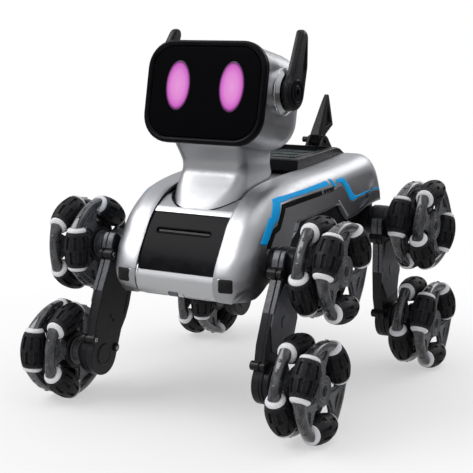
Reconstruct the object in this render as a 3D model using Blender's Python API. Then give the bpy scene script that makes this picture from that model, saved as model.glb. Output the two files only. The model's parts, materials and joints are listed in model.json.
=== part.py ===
"""Quadruped robot dog on eight roller wheels, as separate solids that could be assembled.

The dog faces -Y, its left side is +X and the floor is z = 0. The origin lies on the floor, in the
middle of the overall box. Lengths are in millimetres until new_object turns them into metres.
"""
import bmesh
import bpy
from math import atan2, cos, pi, radians, sin, sqrt
from mathutils import Matrix, Vector

MM = 0.001
GAP = 0.4                                   # clearance between neighbouring pieces

# wheels
WHEEL_R = 38.0                              # outer radius
WHEEL_X = 104.9                             # middle of a wheel
ROW_X = 9.27                                # each roller row's distance from the wheel's middle
ROLLER_R = 10.5                             # roller radius at its middle
ROLLER_AXIS = WHEEL_R - ROLLER_R            # distance of a roller's axis from the wheel's
ROLLER_HALF = 16.7                          # half a roller's length, with its end caps
ROLLER_SIDES = 10
PIN_R, PIN_BORE_R = 1.2, 1.7
ARM_DEPTH, ARM_WIDTH = 7.8, 8.8             # section of a carrier arm, radial and axial
ARM_BOW, ARM_TAPER = 2.0, 0.92              # the arm's bend inwards, and its ends' share of the section
HUB_R, HUB_OUT, HUB_IN = 8.6, 13.2, 17.0    # barrel radius, and its ends from the wheel's middle
DRUM_R, DRUM_OUT, DRUM_IN = 14.5, 8.8, 12.0
HUB_BORE_R, HUB_BORE_DEPTH = 3.0, 7.0
SHAFT_R, SHAFT_END = 2.6, 28.0
SPOKE_END, SPOKE_HALF = 27.5, 2.2           # outer end of a spoke, and half its thickness

# legs
LEG = 84.32                                 # hip axis to lower wheel axis
WHEELBASE = 214.4
FRONT_LEAN, REAR_LEAN = radians(22.84), radians(-5.56)      # positive leans towards the head
LEG_IN, LEG_SPLIT = 68.0, 74.5              # inner face and parting plane
LEG_FACE, LEG_OUT = 77.4, 81.8              # outer face between the axles, and around them
BOSS_R, BOSS_IN = 13.4, 62.2                # hip boss on the side of the body
HIP_CAP_R, ANKLE_CAP_R, ANKLE_R = 13.2, 15.0, 16.0
COLLAR_R, HIP_SHAFT_R, HIP_SHAFT_END = 12.2, 5.5, 71.9
# (y, z) from the hip; y points to the tail
LEG_FRONT = [(-17.6, 7.0), (-19.4, 4.5), (-19.8, -2.0), (-18.4, -8.0), (-16.6, -14.0), (-17.6, -24.0),
             (-19.0, -38.0), (-19.3, -62.0)]
LEG_REAR = [(15.6, -62.0), (18.4, -52.0), (19.2, -42.0), (18.6, -31.0), (16.2, -20.0)]
LEG_POSTS = [(-17.0, -10.2, 4.0), (-16.2, -75.8, 3.4), (12.0, -76.8, 3.2)]      # (y, z, radius)
POST_IN = 66.4

# body
HALF_WIDTH = 60.0                           # flat sides of the shells
SEAM_X = 33.0                               # inner edge of each side shell
WALL = 2.2
BELLY_Z = 106.0
CHASSIS_HALF, CHASSIS_Y, CHASSIS_TOP = 53.0, (-79.0, 116.0), 146.0
CHASSIS_FLOOR, CHASSIS_WALL = 133.0, 4.0    # the open well on top of the chassis
DOOR_HALF, DOOR_Y, DOOR_THICK = 24.0, (-32.0, 47.0), 2.4
BAY_TOP, BAY_MARGIN = 130.0, 4.0            # battery bay, inset from the door's edges
PACK_Z, PACK_MARGIN = (108.0, 127.0), 6.0
SWITCH_Y, SWITCH_HALF, SWITCH_SLOT = 60.0, 3.0, (56.0, 68.0)

# head
HEAD_TILT = radians(11.6)                   # the face looks up by this much
FACE_CENTRE = Vector((0.0, -73.3, 236.8))
FACE_W, FACE_H, FACE_CORNER = 100.4, 76.0, 21.0
HEAD_DEPTH = 80.0
EAR_Y, EAR_Z = -43.0, 236.5
EAR_HUB_R, EAR_TIP_R, EAR_LENGTH = 13.6, 5.2, 43.8
EAR_LEAN = radians(26.0)                    # the ears lean back
EAR_IN, EAR_OUT = 55.2, 61.4                # inner and outer face of an ear
EAR_BEND, EAR_NOD = 18.0, 0.125             # height over the hub where it slopes inward, and slope
EAR_PIN_R, EAR_PIN_END = 2.9, 46.0
# (x, radius) of the ring that an ear turns on
EAR_POD = [(49.0, 17.5), (51.5, 17.5), (54.6, 14.6), (54.6, 3.4), (49.0, 3.4)]
TAIL_Y, TAIL_Z = 117.0, 185.0               # the tail's hinge pin
TAIL_PIN_R, TAIL_PIN_END, TAIL_BORE_R = 1.8, 14.0, 2.2
TAIL_FOOT_HALF, TAIL_SLOT_HALF, TAIL_SLOT_Z = 8.0, 5.2, 179.6
TAIL_FOOT = [(105.0, 178.7), (112.0, 190.0), (122.0, 190.0), (130.0, 179.6), (129.0, 176.0),
             (122.0, 176.0), (116.6, 176.6)]
# (y, z) from the hinge pin; the fin gets thinner towards its tip
TAIL_FIN = [(-4.0, -2.2), (0.0, -4.4), (4.0, -2.2), (8.6, 4.6), (23.5, 11.5), (18.4, 37.6),
            (16.4, 38.6), (12.0, 33.0), (2.6, 19.0), (-6.6, 5.0)]
TAIL_HOLE = [(9.5, 11.0), (19.0, 13.5), (15.5, 28.0)]
TAIL_HALF, TAIL_TOP, TAIL_THINNING = 4.4, 38.6, 0.6

NECK_FOOT = (31.4, -86.0, -10.0)            # half width, front and rear of the neck's widest part
NECK_FOOT_CORNER = 27.0
# (half width, front, rear, height at the front, height at the rear, corner radius)
NECK = [(*NECK_FOOT, 149.0, 167.6, NECK_FOOT_CORNER), (*NECK_FOOT, 152.6, 170.0, NECK_FOOT_CORNER),
        (29.4, -69.0, -13.0, 168.0, 173.6, 12.0), (28.2, -63.0, -14.5, 173.4, 175.6, 7.0),
        (27.6, -61.4, -15.5, 180.0, 179.0, 7.0), (28.4, -65.0, -17.5, 189.0, 182.8, 7.0),
        (29.4, -69.4, -19.0, 197.4, 187.0, 7.0)]

# (y, z, half width, edge radius) of a side shell's rim, from its front foot over the back to the rear
SHELL_RIM = [(-110, 91, 46, 1), (-114.5, 95.5, 53, 6), (-116.5, 104, 58, 12), (-113.5, 115, 60, 15),
             (-104, 131, 60, 16), (-93.5, 146.5, 60, 16), (-77, 159.5, 60, 16), (-58, 166.5, 60, 15),
             (-24, 171, 60, 14), (28, 173, 60, 14), (68, 175.5, 60, 14), (94, 177.5, 60, 15),
             (108, 175.5, 60, 17), (117.5, 166.5, 60, 16), (122.5, 151, 59, 9), (123, 136.5, 58, 1)]
# (y, z) of the same shell's lower edge, one point for each rim point
SHELL_HEM = [(-109, 91.5), (-104, 92), (-98, 94), (-92, 98), (-84, 102), (-74, 104), (-66, 106),
             (-57, 113), (-39, 140), (10, 142), (33, 144), (51, 129.5), (70, 131), (90, 135.5),
             (108, 136.5), (121.5, 136.5)]

# (y, z) of the outer faces between the side shells, from bottom to top
BUMPER = [(-82.0, 99.5), (-96.0, 92.6), (-108.0, 91.0), (-113.0, 95.5), (-115.0, 103.0), (-113.0, 109.6)]
BUMPER_NOTCH = (-7.0, 7.0, -117.0, -106.0, 88.0, 93.5)
CHEST = [(-112.6, 110.4), (-109.0, 119.0), (-103.0, 130.0), (-96.0, 140.5), (-89.0, 148.4)]
CHEST_SLOT, CHEST_SLOT_HALF = [(-101.0, 136.9), (-97.5, 134.5), (-95.7, 137.1), (-99.2, 139.5)], 23.0
COWL = [(-88.5, 149.2), (-84.0, 152.6), (-76.0, 157.0), (-66.0, 160.0), (-30.0, 165.0), (13.0, 168.0)]
TRAY = [(15.0, 170.0), (15.0, 179.0), (20.0, 180.0), (88.0, 183.0), (102.0, 177.0), (110.0, 175.0),
        (118.5, 166.0), (123.0, 151.0), (123.5, 137.0), (120.5, 137.0), (120.0, 149.0),
        (116.0, 163.0), (108.0, 171.0)]
TRAY_RECESS = (-25.0, 25.0, 21.0, 88.0, 176.5, 190.0)

SIDES = {"left": 1, "right": -1}


# ---------------------------------------------------------------- helpers

def clear_scene():
    for obj in list(bpy.data.objects):
        bpy.data.objects.remove(obj, do_unlink=True)


def material(name, colour, roughness, metallic=0.0):
    mat = bpy.data.materials.new(name)
    mat.use_nodes = True
    shader = mat.node_tree.nodes["Principled BSDF"]
    shader.inputs["Base Color"].default_value = (*colour, 1.0)
    shader.inputs["Roughness"].default_value = roughness
    shader.inputs["Metallic"].default_value = metallic
    return mat


def bridge(bm, lower, upper):
    count = len(lower)
    for i in range(count):
        j = (i + 1) % count
        bm.faces.new((lower[i], lower[j], upper[j], upper[i]))


def loft(rings, closed=False):
    """A mesh through equal rings of points: capped at both ends, or closed into a loop."""
    bm = bmesh.new()
    loops = [[bm.verts.new(point) for point in ring] for ring in rings]
    for lower, upper in zip(loops, loops[1:]):
        bridge(bm, lower, upper)
    if closed:
        bridge(bm, loops[-1], loops[0])
    else:
        bm.faces.new(list(reversed(loops[0])))
        bm.faces.new(loops[-1])
    return bm


def prism(outline, x0, x1):
    """A (y, z) outline drawn out along X."""
    return loft([[(x, y, z) for y, z in outline] for x in (x0, x1)])


def block(x0, x1, y0, y1, z0, z1):
    return prism([(y0, z0), (y1, z0), (y1, z1), (y0, z1)], x0, x1)


def circle(radius, count, y=0.0, z=0.0, start=0.0):
    """(y, z) points of a circle about an X axis."""
    steps = [start + 2 * pi * i / count for i in range(count)]
    return [(y + radius * cos(a), z + radius * sin(a)) for a in steps]


def rod(radius, x0, x1, y=0.0, z=0.0, count=16):
    return prism(circle(radius, count, y, z), x0, x1)


def new_object(name, bm, mat, side=1, place=None, parent=None):
    """Turn a mesh in millimetres into an object in metres; side = -1 mirrors it across x = 0."""
    bmesh.ops.transform(bm, matrix=Matrix.Diagonal((side * MM, MM, MM, 1.0)), verts=bm.verts)
    bmesh.ops.recalc_face_normals(bm, faces=bm.faces)
    mesh = bpy.data.meshes.new(name)
    bm.to_mesh(mesh)
    bm.free()
    return add_mesh(name, mesh, mat, place, parent)


def add_mesh(name, mesh, mat, place=None, parent=None):
    obj = bpy.data.objects.new(name, mesh)
    bpy.context.scene.collection.objects.link(obj)
    if not mesh.materials:
        mesh.materials.append(mat)
    obj.parent = parent
    if place is not None:
        obj.matrix_local = place
    return obj


def empty(name, x, y, z, parent=None, turn=0.0):
    """An axis marker in millimetres, turned about X."""
    obj = bpy.data.objects.new(name, None)
    bpy.context.scene.collection.objects.link(obj)
    obj.parent = parent
    obj.location = (x * MM, y * MM, z * MM)
    obj.rotation_euler = (turn, 0.0, 0.0)
    return obj


def combine(obj, bm, operation, side=1):
    """Join a mesh in millimetres to an object, or cut it away, in the object's own space."""
    tool = new_object("tool", bm, obj.data.materials[0], side)
    was_parent, was_place = obj.parent, obj.matrix_local.copy()
    obj.parent, obj.matrix_local = None, Matrix.Identity(4)
    modifier = obj.modifiers.new("combine", "BOOLEAN")
    modifier.operation = operation
    modifier.solver = "EXACT"
    modifier.object = tool
    replace_by_result(obj)
    bpy.data.objects.remove(tool, do_unlink=True)
    obj.parent, obj.matrix_local = was_parent, was_place
    return obj


def replace_by_result(obj):
    bpy.context.view_layer.update()
    result = bpy.data.meshes.new_from_object(obj.evaluated_get(bpy.context.evaluated_depsgraph_get()))
    obj.modifiers.clear()
    obj.data = result


def smooth(obj, angle=35):
    obj.data.shade_smooth()
    obj.data.set_sharp_from_angle(angle=radians(angle))
    return obj


def rounded_rect(width, height, radius, steps=4):
    """(u, v) points of a rounded rectangle, anticlockwise."""
    points = []
    for quarter, (su, sv) in enumerate(((1, 1), (-1, 1), (-1, -1), (1, -1))):
        cu, cv = su * (width / 2 - radius), sv * (height / 2 - radius)
        for i in range(steps + 1):
            a = (quarter + i / steps) * pi / 2
            points.append((cu + radius * cos(a), cv + radius * sin(a)))
    return points


def face_point(u, v, depth):
    """A point of the head: u to the dog's left, v up the face, depth back from the face."""
    forward = Vector((0.0, -cos(HEAD_TILT), sin(HEAD_TILT)))
    up = Vector((0.0, sin(HEAD_TILT), cos(HEAD_TILT)))
    return FACE_CENTRE + Vector((u, 0.0, 0.0)) + v * up - depth * forward


# ---------------------------------------------------------------- wheels

def roller_profile(steps=4, half=ROLLER_HALF):
    """(t, radius) along a roller, so that the rollers together follow the wheel's circle."""
    stations = [half * (2 * i / steps - 1) for i in range(steps + 1)]
    return [(t, sqrt(WHEEL_R ** 2 - t ** 2) - ROLLER_AXIS) for t in stations]


def roller_mesh(bored, half=ROLLER_HALF):
    """A barrel about its own Z axis, with a bore for its pin."""
    angles = [2 * pi * i / ROLLER_SIDES for i in range(ROLLER_SIDES)]
    rings = [[(r * cos(a), r * sin(a), t) for a in angles] for t, r in roller_profile(half=half)]
    if bored:
        bore = PIN_BORE_R / cos(pi / ROLLER_SIDES)
        rings += [[(bore * cos(a), bore * sin(a), t) for a in angles] for t in (half, -half)]
    return loft(rings, closed=bored)


def row_place(x, angle):
    """Where a roller at this angle of a wheel sits, with its own Z along the rim."""
    middle = (x * MM, ROLLER_AXIS * cos(angle) * MM, ROLLER_AXIS * sin(angle) * MM)
    return Matrix.Translation(middle) @ Matrix.Rotation(angle, 4, "X")


def arm_ring(x, angle, bend, radius, depth, width):
    """A six-sided section of the carrier at an angle of the wheel, its plane turned by bend."""
    out = Vector((0.0, cos(angle + bend), sin(angle + bend)))
    centre = Vector((x, radius * cos(angle), radius * sin(angle)))
    corners = ((0.5, 0.22), (0.0, 0.5), (-0.5, 0.3), (-0.5, -0.3), (0.0, -0.5), (0.5, -0.22))
    return [centre + out * (depth * a) + Vector((width * b, 0.0, 0.0)) for a, b in corners]


def carrier_rings(x, phase):
    """One roller row's carrier: three arms joined by the pins that the rollers turn on."""
    end = ROLLER_HALF + GAP
    half_arm = pi / 3 - atan2(end, ROLLER_AXIS)
    end_radius = sqrt(end ** 2 + ROLLER_AXIS ** 2)
    lean = pi / 3 - half_arm
    pin = (2 * PIN_R, 2 * PIN_R)
    rings = []
    for arm in range(3):
        middle = phase + arm * 2 * pi / 3
        rings.append(arm_ring(x, middle - half_arm, -lean, end_radius, *pin))
        for step in (-1.0, -0.4, 0.4, 1.0):
            radius = end_radius - (1.0 - abs(step)) * ARM_BOW
            thick = 1.0 if abs(step) < 1 else ARM_TAPER
            rings.append(arm_ring(x, middle + step * half_arm, step * lean, radius,
                                  ARM_DEPTH * thick, ARM_WIDTH * thick))
        rings.append(arm_ring(x, middle + half_arm, lean, end_radius, *pin))
    return rings


def spoke(x, angle):
    """A flat web from the barrel to the middle of an arm."""
    start = HUB_R - 2.0
    outline = [(start, -3.4), (SPOKE_END, -2.4), (SPOKE_END, 2.4), (start, 3.4)]
    bm = prism(outline, x - SPOKE_HALF, x + SPOKE_HALF)
    bmesh.ops.transform(bm, matrix=Matrix.Rotation(angle, 4, "X"), verts=bm.verts)
    return bm


def wheel_mesh(name, mat, side, with_rollers):
    """Barrel, axle, spokes and both carriers; with_rollers adds the six rollers as one solid."""
    hub = new_object(name, rod(HUB_R, -HUB_IN, HUB_OUT, count=14), mat, side)
    combine(hub, rod(DRUM_R, -DRUM_IN, DRUM_OUT, count=18), "UNION", side)
    combine(hub, rod(SHAFT_R, -SHAFT_END, -HUB_IN + 1.0, count=10), "UNION", side)
    combine(hub, rod(HUB_BORE_R, HUB_OUT - HUB_BORE_DEPTH, HUB_OUT + 1.0, count=8), "DIFFERENCE", side)
    for row, phase in ((ROW_X, 0.0), (-ROW_X, pi / 3)):
        for arm in range(3):
            combine(hub, spoke(row, phase + arm * 2 * pi / 3), "UNION", side)
        combine(hub, loft(carrier_rings(row, phase), closed=True), "UNION", side)
        if with_rollers:
            for arm in range(3):
                bm = roller_mesh(bored=False, half=ROLLER_HALF + 2 * GAP)
                place = row_place(row, phase + pi / 3 + arm * 2 * pi / 3)
                place.translation = place.translation / MM
                bmesh.ops.transform(bm, matrix=place, verts=bm.verts)
                combine(hub, bm, "UNION", side)
    return hub


def build_wheels(mats, hips):
    """Eight wheels: the lower ones carry loose rollers, the upper ones have theirs in one solid."""
    phases = {("front", "left"): (90, 90), ("front", "right"): (180, 112),
              ("rear", "left"): (160, 90), ("rear", "right"): (150, 180)}
    shared = {}
    roller = None
    for (end, hand), turns in phases.items():
        side = SIDES[hand]
        for level, turn, down in (("upper", turns[0], 0.0), ("lower", turns[1], LEG)):
            label = f"{level}_{end}_{hand}"
            lean = FRONT_LEAN if end == "front" else REAR_LEAN
            axle = empty(f"axle_{label}", side * WHEEL_X, 0.0, -down, hips[end, hand],
                         radians(turn) + lean)
            name = f"wheel_hub_{end}_{hand}" if level == "lower" else f"wheel_{label}"
            if (level, hand) in shared:
                add_mesh(name, shared[level, hand], mats["hub"], parent=axle)
            else:
                wheel = wheel_mesh(name, mats["hub"], side, level == "upper")
                wheel.parent = axle
                shared[level, hand] = smooth(wheel).data
            if level == "lower":
                for number in range(6):
                    inner = number % 2
                    x = side * (-ROW_X if inner else ROW_X)
                    place = row_place(x, pi / 3 * (number + 1))
                    title = f"roller_{end}_{hand}_{number + 1}"
                    if roller is None:
                        obj = new_object(title, roller_mesh(bored=True), mats["rubber"])
                        roller = smooth(obj).data
                        obj.parent, obj.matrix_local = axle, place
                    else:
                        add_mesh(title, roller, mats["rubber"], place, axle)


# ---------------------------------------------------------------- legs

def leg_outline(steps=5):
    """Leg seen from the side, hip at the origin and ankle at z = -LEG; y points to the tail."""
    hip = [(BOSS_R * cos(a), BOSS_R * sin(a)) for a in
           (radians(-30 + 185 * i / steps) for i in range(steps + 1))]
    ankle = [(ANKLE_R * cos(a), -LEG + ANKLE_R * sin(a)) for a in
             (radians(165 + 195 * i / steps) for i in range(steps + 1))]
    return hip + LEG_FRONT + ankle + LEG_REAR


def build_legs(mats, hips):
    """Each leg is two housings that meet at a parting plane; the wheels' shafts turn in the outer one."""
    for (end, hand), hip in hips.items():
        side = SIDES[hand]
        inner = new_object(f"leg_inner_{end}_{hand}", prism(leg_outline(), LEG_IN, LEG_SPLIT - GAP / 2),
                           mats["black"], side)
        combine(inner, rod(BOSS_R, BOSS_IN, LEG_IN + 1.0, count=20), "UNION", side)
        combine(inner, rod(HIP_SHAFT_R + GAP, BOSS_IN - 1.0, HIP_SHAFT_END + 2 * GAP, count=16),
                "DIFFERENCE", side)
        for y, z, radius in LEG_POSTS:
            combine(inner, rod(radius, POST_IN, LEG_SPLIT - 1.0, y, z, 10), "UNION", side)
        outer = new_object(f"leg_outer_{end}_{hand}",
                           prism(leg_outline(), LEG_SPLIT + GAP / 2, LEG_FACE), mats["grey"], side)
        for z, cap in ((0.0, HIP_CAP_R), (-LEG, ANKLE_CAP_R)):
            combine(outer, rod(cap, LEG_FACE - 1.0, LEG_OUT, z=z, count=20), "UNION", side)
            combine(outer, rod(SHAFT_R + GAP, LEG_SPLIT + 1.6, LEG_OUT + 1.0, z=z, count=12),
                    "DIFFERENCE", side)
        for leg in (inner, outer):
            smooth(leg)
            leg.parent = hip


# ---------------------------------------------------------------- body

def inward(points, i):
    """Unit vector in (y, z) at rim point i, at right angles to the rim and into the body."""
    before, after = points[max(i - 1, 0)], points[min(i + 1, len(points) - 1)]
    along = Vector((after[0] - before[0], after[1] - before[1])).normalized()
    return Vector((along.y, -along.x))


def shell_surface():
    """Grid of a left shell's outer skin: seam, shoulder, rounded edge, flat side, hem."""
    bm = bmesh.new()
    columns = []
    for i, (y, z, half, r) in enumerate(SHELL_RIM):
        into = inward(SHELL_RIM, i)
        line = [(SEAM_X, y, z), (half - r, y, z)]
        for a in (30, 60, 90):
            drop = r * (1 - cos(radians(a)))
            line.append((half - r + r * sin(radians(a)), y + into.x * drop, z + into.y * drop))
        line.append((half, *SHELL_HEM[i]))
        columns.append([bm.verts.new(point) for point in line])
    for left, right in zip(columns, columns[1:]):
        for a, b, c, d in zip(left, left[1:], right[1:], right):
            bm.faces.new((a, b, c, d))
    return bm


def build_shells(mats, hip_front):
    for hand, side in SIDES.items():
        bm = shell_surface()
        bmesh.ops.transform(bm, matrix=Matrix.Diagonal((side * MM, MM, MM, 1.0)), verts=bm.verts)
        if side > 0:
            bmesh.ops.reverse_faces(bm, faces=bm.faces)
        mesh = bpy.data.meshes.new(f"body_shell_{hand}")
        bm.to_mesh(mesh)
        bm.free()
        shell = add_mesh(f"body_shell_{hand}", mesh, mats["silver"])
        thick = shell.modifiers.new("wall", "SOLIDIFY")
        thick.thickness = WALL * MM
        thick.offset = 1.0
        replace_by_result(shell)
        y, z = hip_front
        combine(shell, rod(COLLAR_R + GAP, HALF_WIDTH - 4.0, HALF_WIDTH + 3.0, y, z, 20),
                "DIFFERENCE", side)
        smooth(shell)


def strip(outer, thickness):
    """Closed (y, z) outline of a bent plate, its outer face through the given points."""
    inner = []
    for i, point in enumerate(outer):
        into = inward(outer, i)
        inner.append((point[0] + into.x * thickness, point[1] + into.y * thickness))
    return outer + inner[::-1]


def build_front(mats):
    half = SEAM_X - GAP
    chest = new_object("chest_panel", prism(strip(CHEST, WALL), -half, half), mats["gloss"])
    combine(chest, prism(CHEST_SLOT, -CHEST_SLOT_HALF, CHEST_SLOT_HALF), "DIFFERENCE")
    cowl = new_object("chest_cowl", prism(strip(COWL, WALL), -half, half), mats["silver"])
    hole = NECK_FOOT[0] + GAP, NECK_FOOT[1] - GAP, NECK_FOOT[2] + GAP
    edge = NECK_FOOT_CORNER + GAP
    combine(cowl, loft([neck_ring(*hole, z, z, edge) for z in (140.0, 175.0)]), "DIFFERENCE")
    bumper = new_object("bumper", prism(strip(BUMPER, WALL), -half, half), mats["silver"])
    combine(bumper, block(*BUMPER_NOTCH), "DIFFERENCE")
    for obj in (chest, bumper):
        smooth(obj)


def build_chassis(mats, hip_front, hip_rear):
    """The frame inside the shells, with the hip shafts, the battery and the power switch."""
    half, (front, rear) = CHASSIS_HALF, CHASSIS_Y
    chassis = new_object("chassis", block(-half, half, front, rear, BELLY_Z, CHASSIS_TOP), mats["black"])
    well = half - CHASSIS_WALL
    combine(chassis, block(-well, well, front + CHASSIS_WALL, rear - CHASSIS_WALL, CHASSIS_FLOOR,
                           CHASSIS_TOP + 1.0), "DIFFERENCE")
    for y, z in (hip_front, hip_rear):
        for side in SIDES.values():
            combine(chassis, rod(COLLAR_R, half - 3.0, BOSS_IN - GAP, y, z, 20), "UNION", side)
            combine(chassis, rod(HIP_SHAFT_R, BOSS_IN - 2.0, HIP_SHAFT_END, y, z, 16), "UNION", side)
    below = BELLY_Z - 1.0
    bay = DOOR_HALF - BAY_MARGIN
    combine(chassis, block(-bay, bay, DOOR_Y[0] + BAY_MARGIN, DOOR_Y[1] - BAY_MARGIN, below, BAY_TOP),
            "DIFFERENCE")
    slot = SWITCH_HALF + GAP
    combine(chassis, block(-slot, slot, *SWITCH_SLOT, below, BELLY_Z + 6.0), "DIFFERENCE")
    pack = DOOR_HALF - PACK_MARGIN
    new_object("battery_pack", block(-pack, pack, DOOR_Y[0] + PACK_MARGIN, DOOR_Y[1] - PACK_MARGIN,
                                     *PACK_Z), mats["gold"])
    door_top = BELLY_Z - GAP
    new_object("battery_cover", block(-DOOR_HALF, DOOR_HALF, *DOOR_Y, door_top - DOOR_THICK, door_top),
               mats["black"])
    slider = empty("switch_rest", 0.0, SWITCH_Y, BELLY_Z)
    knob = [(-3.0, -2.4), (-1.0, -2.4), (0.0, -1.2), (1.0, -2.4), (3.0, -2.4), (3.0, 4.0), (-3.0, 4.0)]
    new_object("power_switch", prism(knob, -SWITCH_HALF, SWITCH_HALF), mats["grey"], parent=slider)


def build_tray(mats):
    half = SEAM_X - GAP
    tray = new_object("back_tray", prism(TRAY, -half, half), mats["black"])
    combine(tray, block(*TRAY_RECESS), "DIFFERENCE")


# ---------------------------------------------------------------- neck, head, ears, tail

def neck_ring(half, front, rear, z_front, z_rear, corner):
    """A horizontal rounded section of the neck that may tip from front to rear."""
    middle, depth = (front + rear) / 2, rear - front
    points = rounded_rect(2 * half, depth, corner, steps=3)
    return [(u, middle + v, z_front + (z_rear - z_front) * (v / depth + 0.5)) for u, v in points]


def build_neck(mats):
    smooth(new_object("neck", loft([neck_ring(*ring) for ring in NECK]), mats["silver"]))


def head_section(depth, shrink=0.0):
    """Rounded outline of the head at a depth behind the face; the rear edges are well rounded."""
    start, round_depth = 48.0, HEAD_DEPTH - 48.0
    t = max(0.0, (depth - start) / round_depth)
    fall = 1.0 - sqrt(max(0.0, 1.0 - t * t))
    half_w = FACE_W / 2 - 1.6 - 24.0 * fall - shrink
    half_h = FACE_H / 2 - 1.5 - 24.0 * fall - shrink
    corner = min(FACE_CORNER - 1.0 - shrink, half_h - 0.5)
    return [face_point(u, v, depth) for u, v in rounded_rect(2 * half_w, 2 * half_h, corner)]


def build_head(mats):
    outline = rounded_rect(FACE_W, FACE_H, FACE_CORNER)
    opening = rounded_rect(FACE_W - 8.0, FACE_H - 8.0, FACE_CORNER - 4.0)
    rings = [[face_point(u * s, v * s, d) for u, v in pts] for pts, s, d in
             ((outline, 0.985, 0.0), (outline, 1.0, 1.2), (outline, 1.0, 6.0), (opening, 1.0, 6.0),
              (opening, 1.0, 0.8))]
    smooth(new_object("face_bezel", loft(rings, closed=True), mats["gloss"]))
    pane = rounded_rect(FACE_W - 8.0 - 2 * GAP, FACE_H - 8.0 - 2 * GAP, FACE_CORNER - 4.4)
    rings = [[face_point(u, v, d) for u, v in pane] for d in (1.4, 5.0)]
    new_object("face_screen", loft(rings), mats["gloss"])
    front = 6.0 + GAP
    depths = (front, 30.0, 48.0, 60.0, 69.0, 75.0, 78.6, HEAD_DEPTH)
    outer = [head_section(d) for d in depths]
    inner = [head_section(d, WALL) for d in (76.0, 66.0, 48.0, front)]
    bm = bmesh.new()
    loops = [[bm.verts.new(p) for p in ring] for ring in outer + inner]
    for k in range(len(outer) - 1):
        bridge(bm, loops[k], loops[k + 1])
    for k in range(len(outer), len(loops) - 1):
        bridge(bm, loops[k], loops[k + 1])
    bridge(bm, loops[-1], loops[0])
    bm.faces.new(loops[len(outer) - 1])
    bm.faces.new(list(reversed(loops[len(outer)])))
    shell = new_object("head_shell", bm, mats["silver"])
    for side in SIDES.values():
        combine(shell, rod(3.4, 40.0, 56.0, EAR_Y, EAR_Z, 12), "DIFFERENCE", side)
    smooth(shell)


def ear_outline():
    """Ear seen from the side about its hub: a disc drawn out into a rounded tip that leans back."""
    spread = atan2(EAR_HUB_R - EAR_TIP_R, EAR_LENGTH)
    upright = pi / 2 - EAR_LEAN
    tip_y, tip_z = EAR_LENGTH * cos(upright), EAR_LENGTH * sin(upright)
    points = []
    for i in range(13):
        a = upright - pi / 2 + spread - (pi + 2 * spread) * i / 12
        points.append((EAR_HUB_R * cos(a), EAR_HUB_R * sin(a)))
    for i in range(7):
        a = upright + (pi / 2 - spread) * (1 - i / 3)
        points.append((tip_y + EAR_TIP_R * cos(a), tip_z + EAR_TIP_R * sin(a)))
    return points


def build_ears(mats):
    for hand, side in SIDES.items():
        rings = [[(x, y, z) for y, z in circle(radius, 20, EAR_Y, EAR_Z)] for x, radius in EAR_POD]
        smooth(new_object(f"ear_pod_{hand}", loft(rings, closed=True), mats["silver"], side))
        axis = empty(f"ear_axis_{hand}", 0.0, EAR_Y, EAR_Z)
        leaf = prism(ear_outline(), EAR_IN, EAR_OUT)
        bmesh.ops.bisect_plane(leaf, geom=leaf.verts[:] + leaf.edges[:] + leaf.faces[:],
                               plane_co=(0.0, 0.0, EAR_BEND), plane_no=(0.0, 0.0, 1.0))
        for vert in leaf.verts:
            vert.co.x -= EAR_NOD * max(0.0, vert.co.z - EAR_BEND)
        ear = new_object(f"ear_{hand}", leaf, mats["black"], side)
        combine(ear, rod(EAR_PIN_R, EAR_PIN_END, EAR_IN + 1.0, count=12), "UNION", side)
        smooth(ear)
        ear.parent = axis


def build_tail(mats):
    half, slot = TAIL_FOOT_HALF, TAIL_SLOT_HALF
    base = new_object("tail_base", prism(TAIL_FOOT, -half, half), mats["black"])
    combine(base, block(-slot, slot, 100.0, 135.0, TAIL_SLOT_Z, 195.0), "DIFFERENCE")
    combine(base, rod(TAIL_PIN_R, -TAIL_PIN_END, half, TAIL_Y, TAIL_Z, 12), "UNION")
    axis = empty("tail_axis", 0.0, TAIL_Y, TAIL_Z)
    fin = prism(TAIL_FIN, -TAIL_HALF, TAIL_HALF)
    for vert in fin.verts:
        vert.co.x *= 1.0 - TAIL_THINNING * max(0.0, vert.co.z) / TAIL_TOP
    fin = new_object("tail_fin", fin, mats["black"])
    through = TAIL_HALF + 1.0
    combine(fin, prism(TAIL_HOLE, -through, through), "DIFFERENCE")
    combine(fin, rod(TAIL_BORE_R, -through, through, count=12), "DIFFERENCE")
    fin.parent = axis


def main():
    clear_scene()
    mats = {
        "silver": material("silver_paint", (0.62, 0.63, 0.66), 0.28, 0.85),
        "black": material("black_plastic", (0.02, 0.02, 0.022), 0.4),
        "gloss": material("gloss_black", (0.006, 0.006, 0.007), 0.12),
        "grey": material("grey_plastic", (0.16, 0.165, 0.18), 0.45),
        "hub": material("smoke_plastic", (0.12, 0.12, 0.125), 0.3),
        "rubber": material("black_rubber", (0.025, 0.025, 0.028), 0.65),
        "gold": material("battery_wrap", (0.12, 0.2, 0.5), 0.5),
    }
    hip_front = (-WHEELBASE / 2 + LEG * sin(FRONT_LEAN), WHEEL_R + LEG * cos(FRONT_LEAN))
    hip_rear = (WHEELBASE / 2 + LEG * sin(REAR_LEAN), WHEEL_R + LEG * cos(REAR_LEAN))
    hips = {}
    for end, (y, z), lean in (("front", hip_front, FRONT_LEAN), ("rear", hip_rear, REAR_LEAN)):
        for hand in SIDES:
            hips[end, hand] = empty(f"hip_{end}_{hand}", 0.0, y, z, turn=-lean)
    build_chassis(mats, hip_front, hip_rear)
    build_shells(mats, hip_front)
    build_front(mats)
    build_tray(mats)
    build_neck(mats)
    build_head(mats)
    build_ears(mats)
    build_tail(mats)
    build_legs(mats, hips)
    build_wheels(mats, hips)


main()
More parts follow.
